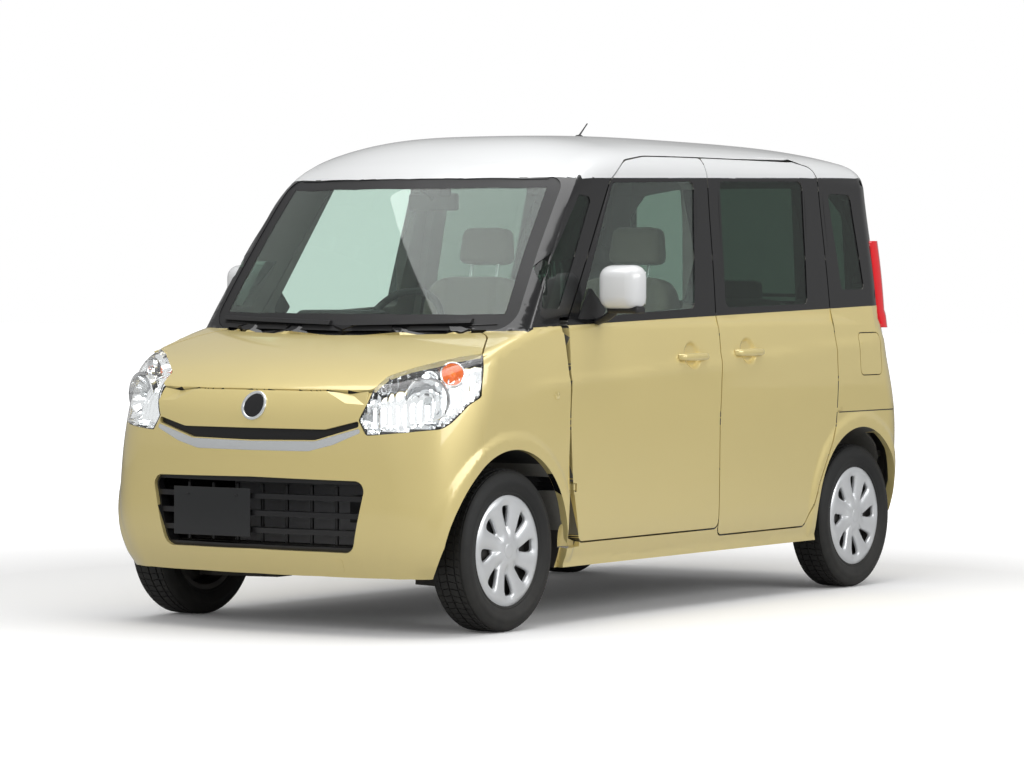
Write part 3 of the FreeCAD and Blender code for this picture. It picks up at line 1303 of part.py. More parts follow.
# Dashboard with the steering column, and the steering wheel
DASH_PROFILE = [(999.7, 740.0), (999.7, 1004.0), (940.0, 1032.0), (760.0, v("dash_top_z")),
                (640.0, 1026.0), (584.0, 990.0), (v("dash_face_x"), 930.0), (590.0, 800.0),
                (660.0, 700.0), (900.0, 690.0)]
dash = swept_seat(DASH_PROFILE, [10, 20, 60, 200, 40, 30, 60, 60, 40, 60], 0.0, 640.0)
dash = dash.common(cleared)
wheel_spot = Vector(v("wheel_x"), v("wheel_y"), v("wheel_z"))
tilt = math.radians(v("column_tilt"))
column_dir = Vector(math.cos(tilt), 0, -math.sin(tilt))
steer_tube = cylinder(34.0, 330.0, wheel_spot + column_dir * 36.3, column_dir)
keep("dashboard", whole(dash).fuse(steer_tube))
rim_r = v("wheel_rim_radius") - v("wheel_grip_radius")
rise = Vector(math.sin(tilt), 0, math.cos(tilt))
across = Vector(0, 1, 0)
grip = []
for i in range(8):
    a = math.radians(22.5 + 45.0 * i)
    grip.append(wheel_spot + rise * (rim_r + v("wheel_grip_radius") * math.cos(a))
                + column_dir * (v("wheel_grip_radius") * math.sin(a)))
steering = flat_face(grip).revolve(wheel_spot, column_dir, 360.0)
hub = cylinder(52.0, 40.0, wheel_spot - column_dir * 4.0, column_dir)
spokes = [hub]
for arm_dir in (across, across * -1.0, rise * -1.0):
    spokes.append(cylinder(11.0, rim_r, wheel_spot + column_dir * 14.0, arm_dir - column_dir * 0.06))
keep("steering_wheel", steering.fuse(spokes))

# Door mirrors on stalks at the front corner of the door glass
clear_skin = body_form(-seat, -seat, -seat, -seat, -seat, -seat)
head = box(592.0, 682.0, 762.0, 912.0, 1098.0, 1240.0)
head = head.makeFillet(30.0, [e for e in head.Edges if e.BoundBox.XLength < 1.0])
stalk = cylinder(17.0, 130.0, Vector(600.0, 695.0, 1045.0), Vector(0.1, 1.0, 0.62))
mirror_left = biggest(head.fuse(stalk).cut(clear_skin))
keep("mirror_left", mirror_left)
keep("mirror_right", mirror(mirror_left))

# Wipers lie along the foot of each screen
wiper_out = body_form(-14.0, -14.0, -14.0, -14.0, 0, 0)
wiper_in = body_form(glass_a - seat, glass_a - seat, glass_a - seat, glass_a * rake - seat, 0, 0)


def strip(x, y0, z0, y1, z1, wide, run):
    """Thin upright band between two points of the front or rear view."""
    points = [Vector(x, y0, z0), Vector(x, y1, z1), Vector(x, y1, z1 + wide),
              Vector(x, y0, z0 + wide)]
    return prism(points, Vector(run, 0, 0))


def blade(zone):
    return biggest(zone.common(wiper_out).cut(wiper_in))


blade_left = blade(strip(900.0, 30.0, 1040.0, 500.0, 1052.0, 14.0, 500.0))
blade_right = blade(strip(900.0, 60.0, 1042.0, 600.0, 1056.0, 14.0, 500.0))
keep("front_wipers", Part.makeCompound([blade_left, mirror(blade_right)]), 2)
rear_blade = blade(strip(-1700.0, 20.0, 1128.0, 400.0, 1128.0, 14.0, 300.0))
keep("rear_wiper", rear_blade)

failed = []
doc.recompute()
for obj in doc.Objects:
    if "Invalid" in obj.State or "Error" in obj.State:
        failed.append("%s %s" % (obj.Name, obj.State))
for name, obj in pieces.items():
    if obj.Shape.isNull() or not obj.Shape.isValid():
        failed.append(name)
if failed:
    raise RuntimeError("not valid: " + ", ".join(failed))
os.makedirs("parts", exist_ok=True)
for name, obj in pieces.items():
    obj.Shape.exportStep("parts/%s.step" % name)
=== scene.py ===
"""Looks of a tall-wagon kei car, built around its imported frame.

Metres, in the frame of the model: +X forward, +Y the car's left, +Z up. The body's curved
form is written once as formulas in millimetres, and every panel, lamp and trim follows it.
"""

import math

import bmesh
import bpy
import numpy as np
from mathutils import Matrix, Vector


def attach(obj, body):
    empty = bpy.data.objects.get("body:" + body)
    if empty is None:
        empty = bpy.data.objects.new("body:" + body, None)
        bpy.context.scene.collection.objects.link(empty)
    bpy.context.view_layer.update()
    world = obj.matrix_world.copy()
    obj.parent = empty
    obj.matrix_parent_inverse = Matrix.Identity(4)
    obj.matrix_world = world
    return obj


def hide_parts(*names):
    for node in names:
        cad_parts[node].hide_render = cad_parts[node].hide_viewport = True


bl_info = {
    "name": "Kei car looks",
    "version": (1, 0, 0),
    "blender": (4, 5, 0),
    "location": "View3D > Sidebar > Kei car",
    "description": "Paint, glass, lamps, wheels, trim and cabin of a kei car",
    "category": "Object",
}

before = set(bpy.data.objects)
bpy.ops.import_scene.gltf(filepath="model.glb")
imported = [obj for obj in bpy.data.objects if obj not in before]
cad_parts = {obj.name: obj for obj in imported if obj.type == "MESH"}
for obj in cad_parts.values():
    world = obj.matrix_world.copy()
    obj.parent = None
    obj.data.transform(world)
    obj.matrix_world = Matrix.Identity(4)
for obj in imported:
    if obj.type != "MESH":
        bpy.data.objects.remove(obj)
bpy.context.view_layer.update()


# ---------------------------------------------------------------- the body's form
LOWER_PLAN = [
    (180.0, 690.0, 1640.0, 230.0, -1630.0, 190.0),
    (300.0, 719.0, 1684.0, 215.0, -1664.0, 190.0),
    (480.0, 732.0, 1695.0, 228.0, -1690.5, 198.0),
    (690.0, 737.5, 1691.0, 300.0, -1682.5, 200.0),
    (850.0, 736.0, 1663.0, 346.0, -1634.0, 193.0),
    (1000.0, 718.0, 1620.0, 350.0, -1602.0, 185.0),
    (1140.0, 693.5, 1580.0, 350.0, -1601.0, 179.0),
]
UPPER_PLAN = [
    (1000.0, 707.0, -1596.0, 178.0),
    (1250.0, 678.0, -1592.0, 170.0),
    (1540.0, 639.5, -1572.0, 160.0),
    (1640.0, 616.0, -1555.0, 150.0),
    (1675.0, 588.0, -1531.0, 142.0),
    (1702.0, 545.0, -1497.0, 135.0),
    (1770.0, 440.0, -1425.0, 120.0),
]
BONNET_LINE = [
    (960.0, 1058.0), (1180.0, 1015.0), (1300.0, 982.0), (1400.0, 950.0), (1500.0, 912.0),
    (1560.0, 883.0), (1600.0, 860.0), (1640.0, 831.0), (1680.0, 780.0), (1730.0, 700.0),
]
ROOF_LINE = [
    (-1720.0, 1640.0), (-1620.0, 1668.0), (-1500.0, 1693.0), (-1350.0, 1711.0),
    (-1000.0, 1728.0), (-500.0, 1735.0), (0.0, 1735.0), (250.0, 1728.0), (479.0, 1707.0),
    (640.0, 1652.0), (770.0, 1570.0), (900.0, 1470.0),
]
SCREEN_LINE = [(880.0, 1262.0), (1018.0, 1175.0), (1200.0, 1052.0), (1400.0, 903.0),
               (1563.0, 772.0), (1800.0, 570.0)]
NOSE_BOW, TAIL_BOW = 2800.0, 5200.0
BONNET_BOW, ROOF_BOW = 3300.0, 1650.0
SCREEN_BOW_LOW, SCREEN_BOW_HIGH = 2200.0, 1650.0
ROOF_EDGE_BASE, ROOF_EDGE_Y, ROOF_EDGE_SHARE = 1545.0, 607.0, 0.38
BELT_SLOPE = (1033.0 - 1098.0) / (1141.0 + 1459.0)
AXLE_FRONT, AXLE_REAR, AXLE_Z = 1190.0, -1235.0, 278.5
ARCH_FRONT, ARCH_REAR, ARCH_REAR_DROP = 345.0, 322.0, 26.0
ARCHES = ((AXLE_FRONT, AXLE_Z, ARCH_FRONT), (AXLE_REAR, AXLE_Z + ARCH_REAR_DROP, ARCH_REAR))
HANDLES = ((13.0, 924.0), (-388.0, 934.0))
SIDES = ((1, "left"), (-1, "right"))


def smooth_line(pairs, column=1):
    """Natural cubic through a table's points: knots, values and second derivatives."""
    xs = np.array([p[0] for p in pairs])
    ys = np.array([p[column] for p in pairs])
    n = len(xs)
    m, d = np.eye(n), np.zeros(n)
    for i in range(1, n - 1):
        h0, h1 = xs[i] - xs[i - 1], xs[i + 1] - xs[i]
        m[i, i - 1:i + 2] = h0, 2 * (h0 + h1), h1
        d[i] = 6 * ((ys[i + 1] - ys[i]) / h1 - (ys[i] - ys[i - 1]) / h0)
    return xs, ys, np.linalg.solve(m, d)


def along(line, at):
    """Values of a smooth line, held level past its ends."""
    xs, ys, k = line
    at = np.clip(at, xs[0], xs[-1])
    i = np.clip(np.searchsorted(xs, at) - 1, 0, len(xs) - 2)
    h = xs[i + 1] - xs[i]
    t0, t1 = xs[i + 1] - at, at - xs[i]
    return ((k[i] * t0**3 + k[i + 1] * t1**3) / (6 * h) + (ys[i] / h - k[i] * h / 6) * t0
            + (ys[i + 1] / h - k[i + 1] * h / 6) * t1)


LOWER_LINES = [smooth_line(LOWER_PLAN, c) for c in range(1, 6)]
UPPER_LINES = [smooth_line(UPPER_PLAN, c) for c in range(1, 4)]
BONNET, ROOF, SCREEN = smooth_line(BONNET_LINE), smooth_line(ROOF_LINE), smooth_line(SCREEN_LINE)


def belt_z(x):
    """Height of the belt, where the glasshouse parts from the lower body."""
    return 1098.0 + BELT_SLOPE * (x + 1459.0)


def bonnet_z(x, y):
    return along(BONNET, x + y * y / (2 * BONNET_BOW))


def roof_z(x, y):
    share = np.clip(x / 700.0, -1.0, 1.0)
    crown = along(ROOF, x + share * y * y / (2 * ROOF_BOW))
    fall = 1.0 - ROOF_EDGE_SHARE * (np.abs(y) / ROOF_EDGE_Y) ** 3
    return ROOF_EDGE_BASE + (crown - ROOF_EDGE_BASE) * fall


def screen_x(z, y):
    bow = SCREEN_BOW_LOW + (SCREEN_BOW_HIGH - SCREEN_BOW_LOW) * (z - 1018.0) / 545.0
    return along(SCREEN, z) - y * y / (2 * bow)


def outline_gap(x, y, w, xf, rf, xr, rr):
    """Signed distance in plan to the outline of arcs: nose bow, corner, side, corner, tail bow."""
    reach_f = np.sqrt((NOSE_BOW - rf) ** 2 - (w - rf) ** 2)
    reach_r = np.sqrt((TAIL_BOW - rr) ** 2 - (w - rr) ** 2)
    cf, cr = xf - NOSE_BOW + reach_f, xr + TAIL_BOW - reach_r
    turn_f = np.arcsin((w - rf) / (NOSE_BOW - rf))
    turn_r = np.arcsin((w - rr) / (TAIL_BOW - rr))
    side = y - w
    angle_f = np.arctan2(y - w + rf, x - cf)
    corner_f = np.hypot(x - cf, y - w + rf) - rf
    nose = np.hypot(x - xf + NOSE_BOW, y) - NOSE_BOW
    front = np.where(angle_f > math.pi / 2, side, np.where(angle_f > turn_f, corner_f, nose))
    angle_r = np.arctan2(y - w + rr, cr - x)
    corner_r = np.hypot(x - cr, y - w + rr) - rr
    tail = np.hypot(x - xr - TAIL_BOW, y) - TAIL_BOW
    rear = np.where(angle_r > math.pi / 2, side, np.where(angle_r > turn_r, corner_r, tail))
    return np.where(x > 0, front, rear)


def blend_max(a, b, k):
    """The larger distance, its crease rounded over a width."""
    h = np.maximum(k - np.abs(a - b), 0.0) / k
    return np.maximum(a, b) + h * h * k * 0.25


def rise(t):
    """Smooth step from 0 to 1."""
    t = np.clip(t, 0.0, 1.0)
    return t * t * (3 - 2 * t)


def pressed_lines(x, y, z):
    """Height of the pressings in the sides: shoulder line, arch flares and the sill's flare."""
    shoulder = 856.0 + (959.0 - 856.0) * (644.0 - x) / (644.0 + 1337.0)
    t = (z - shoulder) / 42.0
    out = 4.0 * np.exp(-(np.where(t > 0, t * 2.6, t * 0.8)) ** 2) * rise((1150.0 - x) / 260.0)
    for cx, cz, r in ARCHES:
        d = np.hypot(x - cx, z - cz) - r
        out = out + 8.0 * (1.0 - rise((d - 34.0) / 34.0)) * rise((z - 190.0) / 60.0) * (d > -60)
    low = rise((420.0 - z) / 150.0) * (np.abs(x) < 900)
    out = out + 5.0 * low
    for cx, cz in HANDLES:
        d = np.hypot((x - cx) / 1.08, z - cz)
        out = out - 12.0 * (1.0 - rise((d - 34.0) / 20.0))
    return out * (z < belt_z(x) - 10) * rise((np.abs(y) - 560.0) / 100.0)


def surfaces(p, pressed=True):
    """The four walls of the form as signed distances, outside positive."""
    x, y, z = p[:, 0], np.abs(p[:, 1]), p[:, 2]
    low = outline_gap(x, y, *[along(line, z) for line in LOWER_LINES])
    if pressed:
        low = low - pressed_lines(x, y, z)
    w, xr, rr = [along(line, z) for line in UPPER_LINES]
    up = outline_gap(np.minimum(x, 0.0), y, w, np.full_like(w, 1420.0), np.full_like(w, 200.0),
                     xr, rr)
    return (low, (z - bonnet_z(x, y)) * 0.92, up, (z - roof_z(x, y)) * 0.95,
            (x - screen_x(z, y)) * 0.8)


def form(p, soft=True):
    """Signed distance to the whole body form. Soft rounds its edges as the pressed panels are."""
    low, lid, up, top, front = surfaces(p, soft)
    cut = p[:, 2] - belt_z(p[:, 0])
    if soft:
        lower = blend_max(blend_max(low, lid, 34.0), cut, 6.0)
        upper = blend_max(blend_max(up, top, 64.0), front, 26.0)
    else:
        lower = np.maximum(np.maximum(low, lid), cut)
        upper = np.maximum(np.maximum(up, top), front)
    return np.minimum(lower, upper)


def slope(p, soft=True):
    """The form's gradient, its outward direction on the skin."""
    g = np.empty_like(p)
    for a in range(3):
        step = np.zeros(3)
        step[a] = 0.8
        g[:, a] = (form(p + step, soft) - form(p - step, soft)) / 1.6
    return g


SETTLE_ROUNDS, LONGEST_STEP = 4, 14.0       # steps of a settling point, each in mm


def settle(p, level):
    """Move points straight onto the form, at a level under or over it."""
    p = p.copy()
    for _ in range(SETTLE_ROUNDS):
        g = slope(p)
        size = np.maximum((g * g).sum(1), 0.2)
        move = np.clip((form(p) - level) / size, -LONGEST_STEP, LONGEST_STEP)
        p -= g * move[:, None]
    return p


DROP_STEP = 12.0         # of the first search along a line, in mm


def drop(points, direction, level=0.0, reach=700.0):
    """Slide points along a direction, from outside, until they meet the form at a level."""
    d = np.array(direction, float)
    d /= np.linalg.norm(d)
    level = np.broadcast_to(level, len(points))
    low = np.zeros(len(points))
    found = np.full(len(points), reach)
    for t in np.arange(0.0, reach, DROP_STEP):
        inside = form(points + d * t) < level
        fresh = inside & (found >= reach)
        found[fresh] = t
        low[fresh] = t - DROP_STEP
    a, b = np.maximum(low, found - DROP_STEP), found.copy()
    for _ in range(14):
        m = (a + b) / 2
        inside = form(points + d * m[:, None]) < level
        b = np.where(inside, m, b)
        a = np.where(inside, a, m)
    return points + d * b[:, None]


# ---------------------------------------------------------------- mesh tools
def mesh_of(name, points, faces, scale=1.0):
    me = bpy.data.meshes.new(name)
    me.from_pydata([tuple(float(c) * scale for c in p) for p in points], [], faces)
    me.validate()
    me.update()
    return me


def outward(me):
    """Merge doubles and point every face outwards."""
    bm = bmesh.new()
    bm.from_mesh(me)
    bmesh.ops.remove_doubles(bm, verts=bm.verts, dist=1e-6)
    bmesh.ops.recalc_face_normals(bm, faces=bm.faces)
    bm.to_mesh(me)
    bm.free()
    return me


def baked(o):
    """The plain mesh that an object's modifiers give; the object goes."""
    bpy.context.view_layer.update()
    done = bpy.data.meshes.new_from_object(
        o.evaluated_get(bpy.context.evaluated_depsgraph_get()))
    bpy.data.objects.remove(o)
    return done


def refined(me, bevel=0.0, levels=0):
    """The mesh with its edges bevelled and its faces subdivided."""
    o = bpy.data.objects.new("maker", me)
    bpy.context.scene.collection.objects.link(o)
    if bevel:
        mod = o.modifiers.new("Edges", "BEVEL")
        mod.width, mod.segments, mod.limit_method = bevel, 2, "ANGLE"
        mod.angle_limit = math.radians(32)
    if levels:
        mod = o.modifiers.new("Smooth", "SUBSURF")
        mod.levels = mod.render_levels = levels
    return baked(o)


def piece(name, me, finishes, body, stands_for=(), smooth=40.0, bevel=0.0, levels=0):
    """Make one finished piece from its mesh: finish, edges, the body that it rides on."""
    if finishes:
        for m in finishes if isinstance(finishes, (list, tuple)) else [finishes]:
            me.materials.append(m)
    if bevel or levels:
        me = refined(me, bevel, levels)
    o = bpy.data.objects.new(name, me)
    bpy.context.scene.collection.objects.link(o)
    if smooth is not None:
        o.data.shade_smooth()
        o.data.set_sharp_from_angle(angle=math.radians(smooth))
    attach(o, body)
    if stands_for:
        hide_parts(*([stands_for] if isinstance(stands_for, str) else stands_for))
    return o


def join_meshes(name, meshes):
    """One mesh from several, keeping each one's finish numbers."""
    bm = bmesh.new()
    for me in meshes:
        bm.from_mesh(me)
    out = bpy.data.meshes.new(name)
    bm.to_mesh(out)
    bm.free()
    return out


def tinted(me, number):
    """The mesh with one finish number on all its faces."""
    for poly in me.polygons:
        poly.material_index = number
    return me


def moved(me, matrix):
    """The mesh after a transform; a mirror image keeps its faces outward."""
    me.transform(matrix)
    if matrix.determinant() < 0:
        me.flip_normals()
    return me


def mirrored(me):
    return moved(me.copy(), Matrix.Scale(-1, 4, (0, 1, 0)))


def sided(me, sign):
    """A copy of the left side's mesh, or its mirror image for the right."""
    return me.copy() if sign > 0 else mirrored(me)


def circle(count):
    """Cosine and sine of even angles round a full turn."""
    return [(math.cos(a), math.sin(a)) for a in np.linspace(0, 2 * math.pi, count, False)]


def ring_stack(name, rings, caps=True):
    """Skin between rings of equal count."""
    n = len(rings[0])
    points = [p for ring in rings for p in ring]
    faces = []
    for i in range(len(rings) - 1):
        for j in range(n):
            k = (j + 1) % n
            faces.append((i * n + j, i * n + k, (i + 1) * n + k, (i + 1) * n + j))
    if caps:
        faces.append(tuple(range(n))[::-1])
        faces.append(tuple((len(rings) - 1) * n + j for j in range(n)))
    return outward(mesh_of(name, points, faces))


def turned(name, profile, steps=96, closed=True):
    """Profile of (y, radius) turned about the Y axis."""
    rings = []
    for k in range(steps):
        a = 2 * math.pi * k / steps
        rings.append([(r * math.sin(a), y, r * math.cos(a)) for y, r in profile])
    n = len(profile)
    points = [p for ring in rings for p in ring]
    faces = []
    for k in range(steps):
        m = (k + 1) % steps
        for j in range(n if closed else n - 1):
            i = (j + 1) % n
            faces.append((k * n + j, m * n + j, m * n + i, k * n + i))
    return outward(mesh_of(name, points, faces))


def curve_points(points, count):
    """Even points on a smooth line through the given ones."""
    points = np.array(points, float)
    t = np.concatenate([[0], np.cumsum(np.linalg.norm(np.diff(points, axis=0), axis=1))])
    lines = [smooth_line(list(zip(t, points[:, a]))) for a in range(3)]
    at = np.linspace(0, t[-1], count)
    return np.stack([along(line, at) for line in lines], 1)


def tube(name, points, radius, sides=12, flat=1.0, up=(0, 0, 1)):
    """Round or flattened rod along points. Radius may change along it."""
    points = np.array(points, float)
    radius = np.broadcast_to(radius, len(points))
    rings = []
    for i, p in enumerate(points):
        a, b = points[max(i - 1, 0)], points[min(i + 1, len(points) - 1)]
        t = (b - a) / np.linalg.norm(b - a)
        side = np.cross(t, up)
        side /= np.linalg.norm(side)
        over = np.cross(side, t)
        rings.append([p + radius[i] * (side * c + over * flat * s) for c, s in circle(sides)])
    return ring_stack(name, rings)


def rounded_block(name, size, place, edge=0.01):
    """Block with rounded edges, for a small moulded part."""
    bm = bmesh.new()
    bmesh.ops.create_cube(bm, size=1.0)
    for vert in bm.verts:
        vert.co = Vector([vert.co[a] * size[a] for a in range(3)])
    bmesh.ops.bevel(bm, geom=bm.edges[:], offset=min(edge, min(size) * 0.48),
                    segments=5 if edge > 0.01 else 3, profile=0.5, affect="EDGES",
                    clamp_overlap=True)
    bmesh.ops.translate(bm, vec=Vector(place), verts=bm.verts)
    me = bpy.data.meshes.new(name)
    bm.to_mesh(me)
    bm.free()
    return me


def cut_lines(bm, faces, step):
    """Divide faces along even planes in all three directions."""
    if not faces:
        return faces
    co = np.array([v.co for f in faces for v in f.verts])
    low, high = co.min(0), co.max(0)
    for a in range(3):
        normal = Vector((0, 0, 0))
        normal[a] = 1.0
        at = math.ceil(low[a] / step) * step
        while at < high[a]:
            spot = normal * (at + 1e-4)
            near = [f for f in faces if f.is_valid
                    and min(v.co[a] for v in f.verts) < at < max(v.co[a] for v in f.verts)]
            if near:
                geom = set(near)
                for f in near:
                    geom.update(f.edges)
                    geom.update(f.verts)
                got = bmesh.ops.bisect_plane(bm, geom=list(geom), dist=1e-6, plane_co=spot,
                                             plane_no=normal)
                known = set(faces)
                faces = faces + [g for g in got["geom"]
                                 if isinstance(g, bmesh.types.BMFace) and g not in known]
            at += step
    return [f for f in faces if f.is_valid]


# Paint parts at the header over the windscreen, the floor, the firewall and the white line.
HEADER_Z, FLOOR_Z, FIREWALL_X = 1560.0, 330.0, 1004.0
WHITE_LINE = [(-1800.0, 1606.0), (-1459.0, 1600.0), (417.0, 1563.0), (760.0, 1561.0)]
FACING = 0.72            # how nearly a face looks along the form's slope to count as skin
UNDER, INNER_UNDER, OVER = 13.0, 9.0, 1.6   # how far its middle may lie off its level, in mm
LONGEST_MOVE = 26.0      # a point that would settle further stays where it is, in mm
FINE_HANDLE, FINE_ARCH = 0.007, 0.015       # spacing of the cuts near dishes and arches, in m
NEAR_PRESSING = 85.0     # how far round a dish, or outside an arch, those cuts reach, in mm


def close_to(faces, x, z, reach):
    """The faces on the car's sides within reach of one place, in millimetres."""
    spots = [(f, f.calc_center_median()) for f in faces]
    return [f for f, c in spots
            if abs(c.y) > 0.6 and math.hypot(c.x * 1000 - x, c.z * 1000 - z) < reach]


def shade_by_form(me, kinds, normals):
    """Skin faces take the form's slopes at their points, the others keep their own normals."""
    custom = np.zeros((len(me.loops), 3))
    face_normals = np.zeros(len(me.polygons) * 3)
    me.polygons.foreach_get("normal", face_normals)
    face_normals = face_normals.reshape(-1, 3)
    loop_vert = np.zeros(len(me.loops), int)
    me.loops.foreach_get("vertex_index", loop_vert)
    for poly, kind in zip(me.polygons, kinds):
        run = slice(poly.loop_start, poly.loop_start + poly.loop_total)
        if kind == 1:
            custom[run] = normals[loop_vert[run]]
        elif kind == 2:
            custom[run] = -normals[loop_vert[run]]
        else:
            custom[run] = face_normals[poly.index]
    me.normals_split_custom_set([tuple(n) for n in custom])


def panel(node, name, levels=(0.0, None), step=0.03, paint=None, parting=()):
    """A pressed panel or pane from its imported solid: the outer faces are divided and settled on
    the smooth form, and shade by the form's own slope."""
    bm = bmesh.new()
    bm.from_mesh(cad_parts[node].data)
    bmesh.ops.remove_doubles(bm, verts=bm.verts, dist=2e-5)
    bmesh.ops.delete(bm, geom=[e for e in bm.edges if not e.link_faces], context="EDGES")
    a, b = WHITE_LINE[1], WHITE_LINE[2]
    tilt = (b[1] - a[1]) / (b[0] - a[0])
    lines = [((0, 0, belt_z(0.0) / 1000 + 1e-4), (-BELT_SLOPE, 0, 1)),
             ((a[0] / 1000, 0, a[1] / 1000), (-tilt, 0, 1)), ((0, 0, HEADER_Z / 1000), (0, 0, 1))]
    for spot, normal in lines + list(parting):
        bmesh.ops.bisect_plane(bm, geom=bm.faces[:] + bm.edges[:] + bm.verts[:], dist=1e-6,
                               plane_co=spot, plane_no=Vector(normal).normalized())

    def classes(faces):
        mid = np.array([f.calc_center_median() for f in faces]) * 1000
        for f in faces:
            f.normal_update()
        nor = np.array([f.normal for f in faces])
        g = slope(mid, False)
        dot = (g * nor).sum(1) / np.maximum(np.linalg.norm(g, axis=1), 1e-6)
        return form(mid, False), dot

    depth, dot = classes(bm.faces[:])
    is_out = (dot > FACING) & (depth > levels[0] - UNDER) & (depth < levels[0] + OVER)
    outer = [f for f, k in zip(bm.faces[:], is_out) if k]
    is_in = np.zeros(len(is_out), bool)
    if levels[1] is not None:
        is_in = (dot < -FACING) & (depth > levels[1] - INNER_UNDER) & (depth < levels[1] + OVER)
    inner = [f for f, k in zip(bm.faces[:], is_in) if k]
    outer = cut_lines(bm, outer, step * (1.0))
    pressings = [(x, z, 0.0, FINE_HANDLE) for x, z in HANDLES]
    pressings += [(x, z, r, FINE_ARCH) for x, z, r in ARCHES]
    for x, z, radius, fine in pressings if levels[0] == 0.0 else ():
        near = close_to(outer, x, z, radius + NEAR_PRESSING)
        if near:
            kept = set(near)
            outer = [f for f in outer if f not in kept] + cut_lines(bm, near, fine)
    if inner:
        inner = cut_lines(bm, inner, step)
    bm.verts.index_update()
    bm.faces.index_update()
    bm.verts.ensure_lookup_table()
    outer_set, inner_set = set(outer), set(inner)
    ov = sorted({v.index for f in outer for v in f.verts})
    iv = sorted({v.index for f in inner for v in f.verts} - set(ov))
    co = np.array([v.co for v in bm.verts]) * 1000
    new = co.copy()
    if ov:
        new[ov] = settle(co[ov], levels[0])
    if iv:
        new[iv] = settle(co[iv], levels[1])
    shift = np.linalg.norm(new - co, axis=1)
    too_far = shift > LONGEST_MOVE
    new[too_far] = co[too_far]
    for i in ov + iv:
        bm.verts[i].co = Vector(new[i] / 1000)
    normals = slope(new)
    normals /= np.maximum(np.linalg.norm(normals, axis=1), 1e-6)[:, None]
    kinds = [1 if f in outer_set else 2 if f in inner_set else 0 for f in bm.faces]
    me = bpy.data.meshes.new(name)
    if paint:
        mids = np.array([f.calc_center_median() for f in bm.faces]) * 1000
        facing = np.array([f.normal for f in bm.faces])
        for f, number in zip(bm.faces, paint(mids, np.array(kinds), facing)):
            f.material_index = int(number)
    for f in bm.faces:
        f.smooth = True
    bm.to_mesh(me)
    bm.free()
    shade_by_form(me, kinds, normals)
    return me


def patch(name, outline, direction, far, level=0.0, under=-6.0, step=18.0, rounded=0.0):
    """A trim or lens that follows the form: an outline seen along a direction, dropped on it.
    The outline is in millimetres; far is the plane that it starts from."""
    bm = bmesh.new()
    f = bm.faces.new([bm.verts.new(Vector(p)) for p in outline])
    if rounded:
        bmesh.ops.bevel(bm, geom=bm.verts[:], offset=rounded, segments=5, profile=0.5,
                        affect="VERTICES", clamp_overlap=True)
    cut_lines(bm, bm.faces[:], step)
    bmesh.ops.connect_verts_concave(bm, faces=bm.faces[:])
    bm.verts.index_update()
    flat = np.array([v.co for v in bm.verts])
    faces = [[v.index for v in f.verts] for f in bm.faces]
    edges = [(e.verts[0].index, e.verts[1].index) for e in bm.edges if len(e.link_faces) == 1]
    bm.free()
    lev = level(flat) if callable(level) else level
    und = under(flat) if callable(under) else under
    top = drop(flat, direction, lev, far)
    low = drop(flat, direction, und, far)
    n = len(flat)
    points = np.concatenate([top, low]) / 1000
    skin = faces + [[i + n for i in reversed(f)] for f in faces]
    skin += [(a, b, b + n, a + n) for a, b in edges]
    return outward(mesh_of(name, points, skin))


def side_patch(name, outline, sign=1, **kw):
    """Patch given by its (x, z) outline on a side of the car."""
    return patch(name, [(x, 900.0 * sign, z) for x, z in outline], (0, -sign, 0), 760.0, **kw)


def nose_patch(name, outline, **kw):
    """Patch given by its (y, z) outline on the front of the car."""
    return patch(name, [(1900.0, y, z) for y, z in outline], (-1, 0, 0), 760.0, **kw)


def tail_patch(name, outline, **kw):
    """Patch given by its (y, z) outline on the back of the car."""
    return patch(name, [(-1900.0, y, z) for y, z in outline], (1, 0, 0), 760.0, **kw)


# ---------------------------------------------------------------- geometry node trees
def node_tree(name, inputs):
    tree = bpy.data.node_groups.new(name, "GeometryNodeTree")
    tree.interface.new_socket("Geometry", in_out="INPUT", socket_type="NodeSocketGeometry")
    for label, kind, value in inputs:
        s = tree.interface.new_socket(label, in_out="INPUT", socket_type=kind)
        if value is not None:
            s.default_value = value
    tree.interface.new_socket("Geometry", in_out="OUTPUT", socket_type="NodeSocketGeometry")
    return tree, tree.nodes.new("NodeGroupInput"), tree.nodes.new("NodeGroupOutput")


def new_node(tree, kind, operation=None, values=None):
    """Add a node with its operation and the values of its inputs, by label or number."""
    node = tree.nodes.new(kind)
    if operation:
        node.operation = operation
    for key, value in (values or {}).items():
        node.inputs[key].default_value = value
    return node


def wire(tree, *links):
    """Link outputs to inputs, each given as node, socket, node, socket."""
    for source, out, target, into in links:
        tree.links.new(source.outputs[out], target.inputs[into])


